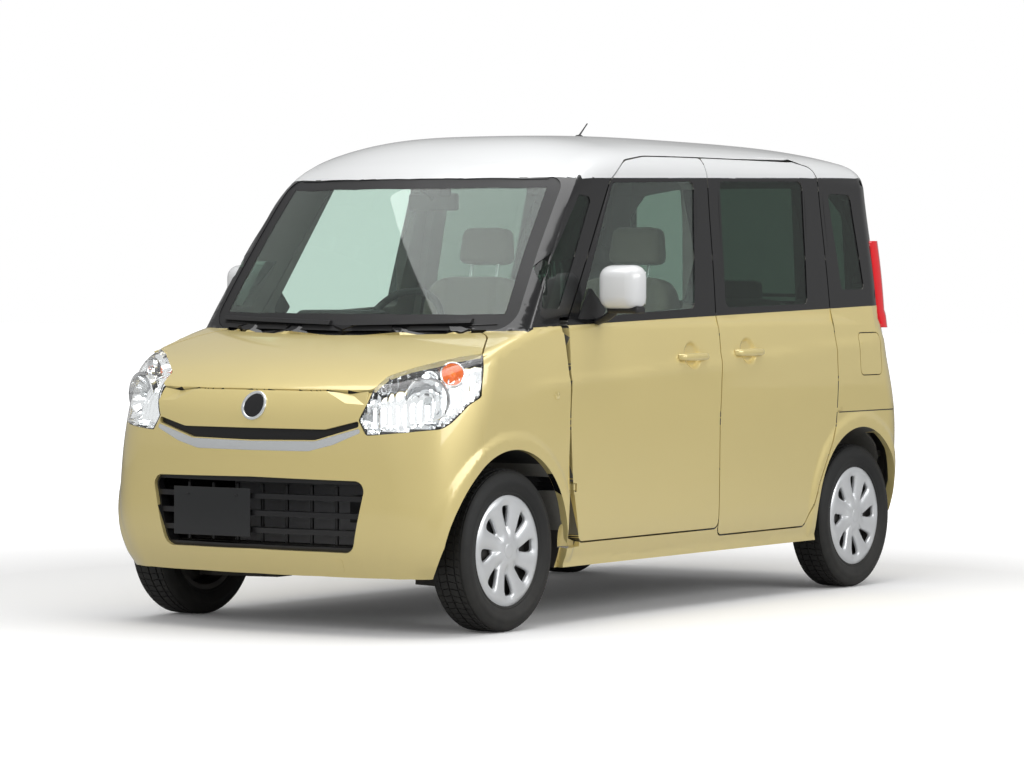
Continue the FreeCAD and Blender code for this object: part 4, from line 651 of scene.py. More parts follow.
def copies_tree(name):
    """Copies of the piece in a straight row, or turned about the Y axis evenly round a wheel."""
    ring = name == "Ring of copies"
    sockets = [("Count", "NodeSocketInt", 8)]
    if not ring:
        sockets.append(("Spacing", "NodeSocketVector", (0, 0, 0.01)))
    tree, i, o = node_tree(name, sockets + [("Finish", "NodeSocketMaterial", None)])
    line = new_node(tree, "GeometryNodeMeshLine")
    put = new_node(tree, "GeometryNodeInstanceOnPoints")
    real = new_node(tree, "GeometryNodeRealizeInstances")
    dress = new_node(tree, "GeometryNodeSetMaterial")
    wire(tree, (i, "Count", line, "Count"))
    if ring:
        line.inputs["Offset"].default_value = (0, 0, 0)
        index = new_node(tree, "GeometryNodeInputIndex")
        part = new_node(tree, "ShaderNodeMath", "DIVIDE")
        turn = new_node(tree, "ShaderNodeMath", "MULTIPLY", {1: 2 * math.pi})
        spin = new_node(tree, "ShaderNodeCombineXYZ")
        wire(tree, (index, 0, part, 0), (i, "Count", part, 1), (part, 0, turn, 0),
                   (turn, 0, spin, "Y"), (spin, 0, put, "Rotation"))
    else:
        wire(tree, (i, "Spacing", line, "Offset"))
    wire(tree, (line, "Mesh", put, "Points"), (i, "Geometry", put, "Instance"), (put, 0, real, 0),
               (real, 0, dress, "Geometry"), (i, "Finish", dress, "Material"), (dress, 0, o, 0))
    return tree


def repeated(me, tree_name, **values):
    """Run a tree on a mesh and give back the plain mesh."""
    tree = bpy.data.node_groups.get(tree_name) or copies_tree(tree_name)
    o = bpy.data.objects.new("maker", me)
    bpy.context.scene.collection.objects.link(o)
    mod = o.modifiers.new("Repeat", "NODES")
    mod.node_group = tree
    for item in tree.interface.items_tree:
        if item.item_type == "SOCKET" and item.in_out == "INPUT" and item.name in values:
            mod[item.identifier] = values[item.name]
    return baked(o)


# ---------------------------------------------------------------- finishes
def effect_group(name, inputs, outputs):
    tree = bpy.data.node_groups.new(name, "ShaderNodeTree")
    for label, value in inputs:
        kind = "NodeSocketColor" if isinstance(value, tuple) else "NodeSocketFloat"
        tree.interface.new_socket(label, in_out="INPUT", socket_type=kind).default_value = value
    for label, kind in outputs:
        tree.interface.new_socket(label, in_out="OUTPUT", socket_type=kind)
    spot = tree.nodes.new("ShaderNodeTexCoord")
    return tree, tree.nodes.new("NodeGroupInput"), tree.nodes.new("NodeGroupOutput"), spot


def grain_group():
    """Fine moulded or cast grain: a height and a shift of roughness."""
    tree, i, o, spot = effect_group("Grain", [("Scale", 400.0), ("Roughness", 0.5),
                                              ("Spread", 0.1)],
                                    [("Height", "NodeSocketFloat"),
                                     ("Roughness", "NodeSocketFloat")])
    noise = new_node(tree, "ShaderNodeTexNoise", None, {"Detail": 3.0})
    wide = new_node(tree, "ShaderNodeTexNoise", None, {"Scale": 6.0})
    span = new_node(tree, "ShaderNodeMapRange")
    wire(tree, (spot, "Object", noise, "Vector"), (spot, "Object", wide, "Vector"),
               (i, "Scale", noise, "Scale"), (noise, "Fac", o, "Height"))
    low = new_node(tree, "ShaderNodeMath", "SUBTRACT")
    high = new_node(tree, "ShaderNodeMath", "ADD")
    wire(tree, (i, "Roughness", low, 0), (i, "Spread", low, 1), (i, "Roughness", high, 0),
               (i, "Spread", high, 1), (wide, "Fac", span, "Value"), (low, 0, span, "To Min"),
               (high, 0, span, "To Max"), (span, "Result", o, "Roughness"))
    return tree


def dust_group():
    """Road dust that gathers low down: mixes a colour towards dust by height and noise."""
    tree, i, o, spot = effect_group(
        "Road dust", [("Color", (0.8, 0.8, 0.8, 1.0)), ("Dust", (0.30, 0.27, 0.22, 1.0)),
                      ("Top", 0.42), ("Amount", 0.2)], [("Color", "NodeSocketColor")])
    parts = new_node(tree, "ShaderNodeSeparateXYZ")
    fade = new_node(tree, "ShaderNodeMapRange", None,
                    {"From Min": 0.1, "To Min": 1.0, "To Max": 0.0})
    noise = new_node(tree, "ShaderNodeTexNoise", None, {"Scale": 22.0, "Detail": 5.0})
    times = new_node(tree, "ShaderNodeMath", "MULTIPLY")
    share = new_node(tree, "ShaderNodeMath", "MULTIPLY")
    mix = tree.nodes.new("ShaderNodeMix")
    mix.data_type = "RGBA"
    wire(tree, (spot, "Object", parts, 0), (spot, "Object", noise, "Vector"),
               (parts, "Z", fade, "Value"), (i, "Top", fade, "From Max"),
               (fade, "Result", times, 0), (noise, "Fac", times, 1), (times, 0, share, 0),
               (i, "Amount", share, 1), (share, 0, mix, "Factor"), (i, "Color", mix, "A"),
               (i, "Dust", mix, "B"), (mix, "Result", o, "Color"))
    return tree


def weave_group():
    """Woven cloth: crossed threads as a height and a mask between two yarns."""
    tree, i, o, spot = effect_group("Weave", [("Threads", 520.0), ("Blotch", 9.0)],
                                    [("Height", "NodeSocketFloat"), ("Mask", "NodeSocketFloat")])
    waves = []
    for axis in ("X", "Y", "Z"):
        wave = new_node(tree, "ShaderNodeTexWave", None, {"Distortion": 0.6})
        wave.bands_direction = axis
        wire(tree, (spot, "Object", wave, "Vector"), (i, "Threads", wave, "Scale"))
        waves.append(wave)
    one = new_node(tree, "ShaderNodeMath", "MAXIMUM")
    two = new_node(tree, "ShaderNodeMath", "MULTIPLY")
    wire(tree, (waves[0], "Fac", one, 0), (waves[1], "Fac", one, 1), (one, 0, two, 0),
               (waves[2], "Fac", two, 1), (two, 0, o, "Height"))
    noise = tree.nodes.new("ShaderNodeTexNoise")
    wire(tree, (spot, "Object", noise, "Vector"), (i, "Blotch", noise, "Scale"),
               (noise, "Fac", o, "Mask"))
    return tree


EFFECTS = {"Grain": grain_group, "Road dust": dust_group, "Weave": weave_group}


def effect(mat, name, **values):
    node = mat.node_tree.nodes.new("ShaderNodeGroup")
    node.node_tree = bpy.data.node_groups.get(name) or EFFECTS[name]()
    for label, value in values.items():
        node.inputs[label].default_value = value
    return node


def relief(tree, source, shader, strength, height):
    """Bump from an effect's height, in metres, into the shader."""
    bump = new_node(tree, "ShaderNodeBump", None, {"Strength": strength, "Distance": height})
    wire(tree, (source, "Height", bump, "Height"), (bump, 0, shader, "Normal"))


COAT_ROUGHNESS = 0.04


def finish(name, color, roughness=0.5, metallic=0.0, grain=(400.0, 0.0, 0.05), dust=0.0,
           coat=0.0, transmission=0.0, ior=1.5, sheen=0.0, emission=0.0, specular=0.5):
    """One material: its own Principled shader, with grain and dust where it has them."""
    mat = bpy.data.materials.new(name)
    mat.use_nodes = True
    tree = mat.node_tree
    shader = tree.nodes["Principled BSDF"]
    for label, value in (
            ("Base Color", (*color, 1.0)), ("Metallic", metallic), ("Roughness", roughness),
            ("IOR", ior), ("Coat Weight", coat), ("Coat Roughness", COAT_ROUGHNESS),
            ("Transmission Weight", transmission), ("Sheen Weight", sheen),
            ("Specular IOR Level", specular)):
        shader.inputs[label].default_value = value
    if emission:
        shader.inputs["Emission Color"].default_value = (*color, 1.0)
        shader.inputs["Emission Strength"].default_value = emission
    mat.diffuse_color = (*color, 1.0)
    scale, height, spread = grain
    if scale:
        g = effect(mat, "Grain", Scale=scale, Roughness=roughness, Spread=spread)
        wire(tree, (g, "Roughness", shader, "Roughness"))
        if height:
            relief(tree, g, shader, 0.35, height)
    if dust:
        d = effect(mat, "Road dust", Color=(*color, 1.0), Amount=dust)
        wire(tree, (d, "Color", shader, "Base Color"))
    return mat


NO_GRAIN = (0, 0, 0)


def clear_finish(name, color, ior, specular=0.5):
    """A finish that light passes through."""
    return finish(name, color, 0.0, grain=NO_GRAIN, transmission=1.0, ior=ior,
                  specular=specular)


def cloth_finish(name, color, second, threads=520.0):
    """Woven cloth of two yarns."""
    mat = finish(name, color, 0.9, grain=NO_GRAIN, sheen=0.35)
    tree = mat.node_tree
    shader = tree.nodes["Principled BSDF"]
    w = effect(mat, "Weave", Threads=threads)
    mix = tree.nodes.new("ShaderNodeMix")
    mix.data_type = "RGBA"
    mix.inputs["A"].default_value = (*color, 1.0)
    mix.inputs["B"].default_value = (*second, 1.0)
    wire(tree, (w, "Mask", mix, "Factor"), (mix, "Result", shader, "Base Color"))
    relief(tree, w, shader, 0.5, 0.0006)
    return mat


F = {}


def build_finishes(look):
    """All materials of the car, by the names of their finishes."""
    body = tuple(look.body_colour)
    F.update(
        body=finish("cream_gold_metallic", body, 0.34, 0.25, (900.0, 0.00004, 0.06), 0.12, 1.0),
        white=finish("pearl_white_roof", tuple(look.roof_colour), 0.3, 0.0, (900.0, 0, 0.04),
                     0.0, 1.0),
        black=finish("gloss_black_sash", (0.006, 0.006, 0.007), 0.22, 0.0, (500.0, 0, 0.05), 0.0,
                     0.5),
        satin=finish("satin_black_moulding", (0.018, 0.018, 0.019), 0.5, 0.0,
                     (700.0, 0.0002, 0.08), 0.1),
        glass=clear_finish("green_tint_glass", (0.74, 0.86, 0.80), 1.45, 0.22),
        privacy=clear_finish("privacy_glass", (0.12, 0.18, 0.145), 1.45, 0.3),
        chrome=finish("bright_chrome", (0.90, 0.93, 0.94), 0.22, 0.7, (300.0, 0, 0.04)),
        lens=clear_finish("clear_lens", (0.97, 0.98, 0.98), 1.4),
        reflector=finish("lamp_reflector", (0.86, 0.87, 0.88), 0.08, 1.0, (60.0, 0, 0.05)),
        # Painted glow: the unlit amber bulb emits faintly, strength 0.35, though no light is lit
        # behind it.
        amber=finish("amber_bulb", (0.95, 0.22, 0.02), 0.15, grain=NO_GRAIN, transmission=0.35,
                     ior=1.4, emission=0.35),
        # Painted glow: the red lenses, the bumper reflectors among them, emit faintly, strength
        # 0.25, though no lamp is lit.
        red=finish("red_lens", (0.62, 0.004, 0.010), 0.1, grain=(120.0, 0, 0.04), coat=1.0,
                   ior=1.45, emission=0.25),
        rubber=finish("tyre_rubber", (0.010, 0.0105, 0.0105), 0.66, 0.0, (900.0, 0.0004, 0.1),
                      0.08),
        silver=finish("wheel_silver", (0.78, 0.80, 0.82), 0.34, 0.55, (900.0, 0, 0.06), 0.15,
                      0.6),
        steel=finish("wheel_steel", (0.05, 0.05, 0.052), 0.5, 0.4, (500.0, 0.0003, 0.1), 0.4),
        chassis=finish("chassis_black", (0.022, 0.022, 0.023), 0.6, 0.2, (260.0, 0.0006, 0.12),
                       0.6),
        cast=finish("cast_alloy", (0.24, 0.24, 0.25), 0.55, 0.7, (180.0, 0.001, 0.12), 0.5),
        pipe=finish("pipe_steel", (0.30, 0.28, 0.26), 0.42, 0.9, (140.0, 0.0003, 0.14), 0.4),
        seat=cloth_finish("beige_seat_cloth", (0.24, 0.22, 0.175), (0.29, 0.265, 0.215)),
        belt=cloth_finish("belt_webbing", (0.05, 0.05, 0.05), (0.065, 0.065, 0.062), 900.0),
        carpet=cloth_finish("grey_carpet", (0.075, 0.072, 0.068), (0.10, 0.096, 0.09), 260.0),
        cabin=finish("cabin_moulding", (0.17, 0.165, 0.15), 0.66, 0.0, (700.0, 0.0004, 0.08)),
        dash=finish("dark_dash_moulding", (0.040, 0.040, 0.040), 0.62, 0.0,
                    (700.0, 0.0004, 0.08)),
        tank=finish("tank_plastic", (0.03, 0.03, 0.032), 0.55, 0.0, (200.0, 0.0005, 0.1), 0.6),
        grille=finish("grille_black", (0.012, 0.012, 0.013), 0.35, 0.0, (500.0, 0, 0.06), 0.1),
        plate=finish("blank_plate", (0.02, 0.021, 0.022), 0.35, 0.0, (500.0, 0, 0.05)),
        mirror=finish("mirror_silvering", (0.85, 0.87, 0.88), 0.02, 1.0, NO_GRAIN),
        screen=finish("display_glass", (0.01, 0.012, 0.014), 0.08, grain=NO_GRAIN, coat=1.0),
    )


# ---------------------------------------------------------------- settings
class KeiCarLook(bpy.types.PropertyGroup):
    body_colour: bpy.props.FloatVectorProperty(
        name="Body colour", description="Lower body paint", subtype="COLOR", size=3,
        min=0.0, max=1.0, default=(0.78, 0.645, 0.275))
    roof_colour: bpy.props.FloatVectorProperty(
        name="Roof colour", description="Roof, door tops and mirror caps", subtype="COLOR",
        size=3, min=0.0, max=1.0, default=(0.75, 0.76, 0.765))


class KeiCarTrim(bpy.types.PropertyGroup):
    antenna_length: bpy.props.FloatProperty(
        name="Antenna length", description="Rod above its foot", unit="LENGTH",
        default=0.075, min=0.05, max=0.3)
    plate_width: bpy.props.FloatProperty(
        name="Plate width", description="Blank number plate", unit="LENGTH",
        default=0.33, min=0.2, max=0.52)
    plate_height: bpy.props.FloatProperty(
        name="Plate height", description="Blank number plate", unit="LENGTH",
        default=0.165, min=0.1, max=0.2)
    tread_blocks: bpy.props.IntProperty(
        name="Tread blocks", description="Blocks round each tyre", default=64, min=24, max=90)


# ---------------------------------------------------------------- pieces
def body_paint(mid, kinds, facing):
    """Numbers of the finishes by place: 0 body, 1 white, 2 black sash and the painted shade on the
    doors' front edges, 3 cabin, 4 underside, 5 carpet."""
    low, lid, up, top, front = surfaces(mid, False)
    x, y, z = mid.T
    cut = z - belt_z(x)
    lower = np.maximum(np.maximum(low, lid), cut)
    upper = np.maximum(np.maximum(up, top), front)
    is_up = (((upper < lower) & (x > 400.0)) | (cut > 0)) & (z > 900.0)
    white = np.interp(x, [p[0] for p in WHITE_LINE], [p[1] for p in WHITE_LINE])
    out = np.where(is_up, np.where(z > white, 1, 2), 0)
    on_screen = is_up & (front > np.maximum(up, top) - 2.0) & (z < HEADER_Z)
    out = np.where(on_screen, 2, out)
    sill_side = (facing[:, 1] * np.sign(y) > 0.3) & (np.abs(y) > 640) & (z < 420)
    hidden = (kinds == 0) & (form(mid, False) < -15.0) & ~sill_side
    out = np.where(hidden, 3, out)
    out = np.where(hidden & ((z < FLOOR_Z) | (x > FIREWALL_X)), 4, out)
    floor = hidden & (facing[:, 2] > 0.6) & (z < 560.0) & (x < 1000.0)
    out = np.where(floor, 5, out)
    # Painted shade: the doors' front edge faces, seen through the gap behind the wings, are
    # painted gloss black so the gap reads dark.
    door_edge_shade = (kinds == 0) & (facing[:, 0] > 0.7) & (x > 900.0) & (x < FIREWALL_X)
    return np.where(door_edge_shade & (z > 200.0), 2, out)


class KEICAR_OT_panels(bpy.types.Operator):
    """Painted panels of the body: shell, doors, lid, bonnet, roof and bumpers"""
    bl_idname = "keicar.panels"
    bl_label = "Body panels"

    def execute(self, context):
        paints = [F["body"], F["white"], F["black"], F["cabin"], F["chassis"], F["carpet"]]
        for node, body, name in (
                ("side_frames", "body", "side_frame_skin"),
                ("front_frame", "body", "front_frame_skin"),
                ("floor_pan", "body", "floor_skin"),
                ("roof_frame", "body", "roof_frame_skin"),
                ("tail_panel", "body", "tail_panel_skin"),
                ("front_door_left", "door_left", "door_skin_left"),
                ("front_door_right", "door_right", "door_skin_right"),
                ("sliding_door_left", "body", "slide_skin_left"),
                ("sliding_door_right", "body", "slide_skin_right"),
                ("tailgate", "tail_door", "tailgate_skin"),
                ("roof_panel", "body", "roof_skin"),
                ("bonnet", "bonnet_lid", "bonnet_skin"),
                ("front_wings", "body", "wing_skins"),
                ("front_bumper", "body", "front_bumper_skin"),
                ("rear_bumper", "body", "rear_bumper_skin"),
                ("fuel_lid", "filler_lid", "fuel_lid_skin")):
            me = panel(node, name, paint=body_paint)
            piece(name, me, paints, body, node, smooth=None)
        return {"FINISHED"}


BORDER_LOW, BORDER_HIGH, BORDER_SIDE, BORDER_LEAN = 1078.0, 1522.0, 606.0, 58.0 / 512.0
BORDER_LINES = [((0, 0, BORDER_LOW / 1000), (0, 0, 1)), ((0, 0, BORDER_HIGH / 1000), (0, 0, 1)),
                ((0, BORDER_SIDE / 1000, 1.040), (0, 1, BORDER_LEAN)),
                ((0, -BORDER_SIDE / 1000, 1.040), (0, -1, BORDER_LEAN))]


def pane_rule(node):
    """The windscreen's black printed border, 34 mm wide; the other panes are all glass."""
    def rule(mid, kinds, facing):
        out = np.zeros(len(mid), int)
        if node == "windscreen":
            y, z = np.abs(mid[:, 1]), mid[:, 2]
            side = BORDER_SIDE - BORDER_LEAN * (z - 1040.0)
            out[(y > side) | (z < BORDER_LOW) | (z > BORDER_HIGH)] = 1
        return out
    return rule


class KEICAR_OT_glazing(bpy.types.Operator):
    """Windscreen, door glass, quarter and tailgate glass"""
    bl_idname = "keicar.glazing"
    bl_label = "Glazing"

    def execute(self, context):
        for node, body, name, levels, mat in (
                ("windscreen", "body", "windscreen_pane", (-3.2, -8.3), "glass"),
                ("front_door_glass_left", "door_left", "door_pane_left", (-2.5, -6.5), "glass"),
                ("front_door_glass_right", "door_right", "door_pane_right", (-2.5, -6.5),
                 "glass"),
                ("side_glass", "body", "side_panes", (-2.5, -6.5), "privacy"),
                ("tailgate_glass", "tail_door", "tailgate_pane", (-2.5, -6.5), "privacy")):
            me = panel(node, name, levels, 0.06, pane_rule(node),
                       BORDER_LINES if node == "windscreen" else ())
            piece(name, me, [F[mat], F["satin"]], body,
                  node, smooth=None)
        return {"FINISHED"}


class KEICAR_OT_carried_over(bpy.types.Operator):
    """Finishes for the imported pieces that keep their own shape"""
    bl_idname = "keicar.carried_over"
    bl_label = "Chassis finishes"

    def execute(self, context):
        chosen = {
            "knuckle_left": "cast", "knuckle_right": "cast", "front_subframe": "chassis",
            "rear_axle": "chassis", "engine": "cast", "fuel_tank": "tank", "exhaust": "pipe",
            "dashboard": "dash", "front_wipers": "satin", "rear_wiper": "satin"}
        for node, name in chosen.items():
            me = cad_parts[node].data
            me.materials.clear()
            me.materials.append(F[name])
        return {"FINISHED"}


def edge_gap(flat, outline):
    """Distance of points to the nearest edge of an outline, in its own plane."""
    flat, outline = np.array(flat), np.array(outline)
    best = np.full(len(flat), 1e9)
    for a, b in zip(outline, np.roll(outline, -1, axis=0)):
        t = np.clip(((flat - a) @ (b - a)) / max(((b - a) ** 2).sum(), 1e-9), 0, 1)
        best = np.minimum(best, np.linalg.norm(flat - a - t[:, None] * (b - a), axis=1))
    return best


LAMP_OUTLINE = [
    (-569.0, 729.0), (-545.0, 679.0), (-420.0, 690.0), (-290.0, 703.0), (-258.0, 724.0),
    (-204.0, 779.0), (-164.0, 808.0), (-155.0, 870.0), (-154.0, 945.0), (-160.0, 955.0),
    (-178.0, 956.0), (-265.0, 938.0), (-375.0, 910.0), (-450.0, 887.0), (-488.0, 871.0),
    (-512.0, 851.0), (-520.0, 835.0)]
LAMP_TURN = math.radians(33.9)
LAMP_DEEP, LAMP_FLUTE, LAMP_SHALLOWER = 44.0, 2.0, 16.0    # in mm, under the lens
LENS_EDGE = 5.5          # width in mm of the housing's dark edge


def bowl(name, centre, aim, radius, depth, sides=40, waves=0.0):
    """Lamp bowl: a shallow dish opening along aim, its edge turned back."""
    aim = Vector(aim).normalized()
    turn = aim.to_track_quat("Y", "Z").to_matrix().to_4x4()
    rings = []
    for r, d in ((1.0, 0.0), (0.93, 0.04), (0.78, 0.34), (0.55, 0.68), (0.3, 0.9), (0.12, 1.0),
                 (0.10, 1.12), (0.6, 1.0), (1.0, 0.5), (1.06, 0.05)):
        ring = []
        for k in range(sides):
            a = 2 * math.pi * k / sides
            ripple = 1.0 + waves * (k % 2) * (0.2 < d < 0.95)
            ring.append((radius * r * ripple * math.cos(a), -depth * d,
                         radius * r * ripple * math.sin(a)))
        rings.append(ring)
    me = ring_stack(name, rings + [rings[0]], caps=False)
    return outward(moved(me, Matrix.Translation(Vector(centre)) @ turn))


def bulb(name, centre, aim, radius, length):
    """Rounded capsule, its tip along aim."""
    aim = Vector(aim).normalized()
    turn = aim.to_track_quat("Y", "Z").to_matrix().to_4x4()
    profile = [(-0.5, 0.7), (0.1, 0.72), (0.55, 0.66), (0.82, 0.46), (0.96, 0.2), (1.0, 0.02)]
    rings = [[(radius * r * c, length * t, radius * r * s) for c, s in circle(20)]
             for t, r in profile]
    return moved(ring_stack(name, rings), Matrix.Translation(Vector(centre)) @ turn)


class KEICAR_OT_lamps(bpy.types.Operator):
    """Head lamps, tail lamps, side repeaters and reflectors"""
    bl_idname = "keicar.lamps"
    bl_label = "Lamps"

    def execute(self, context):
        out = np.array([math.cos(LAMP_TURN), math.sin(LAMP_TURN), 0.0])
        side = np.array([-math.sin(LAMP_TURN), math.cos(LAMP_TURN), 0.0])
        outline = [out * 2000 + side * a + np.array([0, 0, b]) for a, b in LAMP_OUTLINE]
        middle = np.mean(outline, axis=0)
        inset = [p + (middle - p) / np.linalg.norm(middle - p) * 3.0 for p in outline]

        def depth(flat):
            gap = edge_gap(flat, outline)
            s = flat @ side
            flute = LAMP_FLUTE * np.abs(np.sin(s / 9.0))
            wall = rise((gap - 5.0) / 16.0)
            return -7.0 - (LAMP_DEEP - flute * 2.0) * wall \
                + LAMP_SHALLOWER * rise((s + 250.0) / 30.0) * wall

        def under(flat):
            return depth(flat) - 4.0

        housing = patch("lamp_housing", outline, -out, 900.0, depth, under, 9.0)
        middles = np.array([list(p.center) for p in housing.polygons]) * 1000
        flat_gap = edge_gap(middles - np.outer(middles @ out - 2000, out), outline)
        for p, g in zip(housing.polygons, flat_gap):
            p.material_index = 1 if g < LENS_EDGE else 0
        lens = patch("lamp_lens", inset, -out, 900.0, 0.0, -3.0, 14.0)
        main_at = drop(np.array([[1900.0, 617.0, 797.0]]), (-1, 0, 0), -26.0)[0] / 1000
        main_aim = (0.95, 0.30, 0.0)
        amber_at = drop(np.array([[1488.0 + 500, 689.0 + 330, 883.0]]),
                        (-500, -330, 0), -24.0)[0] / 1000
        amber_aim = (0.80, 0.60, 0.1)
        bowls = [bowl("main_bowl", main_at, main_aim, 0.074, 0.06, 56, 0.03),
                 bowl("amber_bowl", amber_at, amber_aim, 0.040, 0.034, 28, 0.04),
                 bowl("marker_bowl", (amber_at[0] + 0.062, amber_at[1] - 0.050,
                                      amber_at[2] - 0.016), amber_aim, 0.026, 0.022, 20, 0.04)]
        visor = turned("visor", [(-0.006, 0.0), (0.004, 0.0), (0.004, 0.013), (-0.006, 0.013)],
                       24, closed=False)
        turn = Vector(main_aim).normalized().to_track_quat("Y", "Z").to_matrix().to_4x4()
        moved(visor, Matrix.Translation(Vector(main_at) - Vector(main_aim) * 0.012) @ turn)
        capsule = bulb("capsule", Vector(main_at) - Vector(main_aim) * 0.046, main_aim, 0.011,
                       0.03)
        blinker = bulb("blinker", Vector(amber_at) - Vector(amber_aim) * 0.026, amber_aim, 0.017,
                       0.03)
        for sign, tag in SIDES:
            whole = join_meshes("lamp_body", [sided(m, sign) for m in [housing] + bowls]
                                + [tinted(sided(visor, sign), 2)])
            piece("lamp_body_" + tag, whole, [F["reflector"], F["satin"], F["chrome"]], "body",
                  "headlamps", smooth=24)
            piece("lamp_lens_" + tag, sided(lens, sign), F["lens"], "body")
            piece("lamp_capsule_" + tag, sided(capsule, sign), F["lens"], "body")
            piece("lamp_blinker_" + tag, sided(blinker, sign), F["amber"], "body")
            ring = circle(28)
            repeater = side_patch("repeater", [(928 + 19 * c, 801 + 15 * s) for c, s in ring],
                                  sign, level=lambda f: 1.0 + 4.0 * rise(edge_gap(
                                      f, [(928 + 19 * c, 900 * sign, 801 + 15 * s)
                                          for c, s in ring]) / 12.0), under=-4.0, step=6.0)
            piece("side_repeater_" + tag, repeater, F["lens"], "body")
            reflex = tail_patch("reflex", [(sign * y, z) for y, z in (
                (500, 470), (610, 470), (610, 500), (500, 500))], level=2.0, under=-6.0,
                rounded=8.0)
            piece("bumper_reflector_" + tag, reflex, F["red"], "body")

        def tail_rule(mid, kinds, facing):
            return np.where((kinds == 1) & (mid[:, 2] < 1092) & (mid[:, 2] > 1042), 1, 0)

        tail = panel("tail_lamps", "tail_lamp_lenses", paint=tail_rule)
        piece("tail_lamp_lenses", tail, [F["red"], F["lens"]], "body", "tail_lamps",
              smooth=None)
        for sign, tag in SIDES:
            aim = np.array([0.559, -0.829 * sign, 0.0])
            across = np.array([0.829, 0.559 * sign, 0.0])
            corner = np.array([-1521.0, 659.0 * sign, 0.0])
            outline = [corner - aim * 300 + across * a + np.array([0, 0, z]) for a, z in (
                (-58, 1010), (58, 1010), (58, 1352), (-58, 1352))]
            wing = patch("wing", outline, aim, 500.0, level=lambda f: 5.0 + 26.0 * (
                1.0 - ((f @ across - corner @ across) / 58.0) ** 2), under=-3.0, step=12.0,
                rounded=12.0)
            piece("tail_lens_side_" + tag, wing, F["red"], "body")
        stop = tail_patch("stop", [(-95, 1592), (95, 1592), (95, 1606), (-95, 1606)],
                          level=4.0, under=-8.0, rounded=4.0)
        piece("high_stop_lamp", stop, F["red"], "tail_door")
        return {"FINISHED"}


PLATE_Y, PLATE_Z = -0.168, 0.408


class KEICAR_OT_nose(bpy.types.Operator):
    """Bright bar, grilles, plain round badge and blank plate"""
    bl_idname = "keicar.nose"
    bl_label = "Nose trim"

    def execute(self, context):
        trim = context.scene.kei_car_trim
        piece("bright_bar", panel("chrome_bar", "bright_bar"), F["chrome"], "body",
              "chrome_bar", smooth=None)
        slats = panel("grilles", "grille_panels", (-14.6, None))
        piece("grille_panels", slats, F["grille"], "body", "grilles",
              smooth=None)
        strut = rounded_block("strut", (0.012, 0.012, 0.20), (0, 0, 0), 0.004)
        struts = repeated(strut, "Row of copies", Count=7, Spacing=(0, 0.105, 0),
                          Finish=F["grille"])
        moved(struts, Matrix.Translation((1.628, -0.315, 0.405)))
        piece("grille_struts", struts, None, "body")
        ring = circle(48)
        disc = nose_patch("disc", [(43 * c, 773 + 41 * s) for c, s in ring], level=2.5,
                          under=-3.0, step=12.0)
        piece("badge_disc", disc, F["black"], "body")
        middles = drop(np.array([(1900.0, 46 * c, 773 + 44 * s) for c, s in ring]), (-1, 0, 0),
                       3.0) / 1000
        rings = []
        for p, (c, s) in zip(middles, ring):
            rings.append([p + np.array([0.0045 * u * 1.1, 0.0055 * v * c, 0.0055 * v * s])
                          for u, v in circle(12)])
        rings.append(rings[0])
        piece("badge_ring", ring_stack("badge_ring", rings, caps=False), F["chrome"], "body")
        w, h = trim.plate_width, trim.plate_height
        plate = rounded_block("plate", (0.004, w, h), (1.6935, PLATE_Y, PLATE_Z), 0.0018)
        dots = [rounded_block("dot", (0.004, 0.014, 0.006), (1.6965, PLATE_Y + y, 0.466), 0.0015)
                for y in (-0.105, 0.105)]
        plate = join_meshes("plate", [plate] + [tinted(d, 1) for d in dots])
        piece("front_plate", plate, [F["plate"], F["satin"]], "body", bevel=0.001)
        holder = rounded_block("holder", (0.05, 0.14, 0.05), (1.667, PLATE_Y, PLATE_Z), 0.006)
        piece("plate_holder", holder, F["satin"], "body")
        cover = nose_patch("cover", [(300, 216), (352, 216), (352, 262), (300, 262)],
                           level=1.2, under=-4.0, rounded=9.0)
        piece("tow_hook_cover", cover, F["body"], "body")
        return {"FINISHED"}


ANTENNA_X, ANTENNA_LEAN = -0.35, math.radians(40)


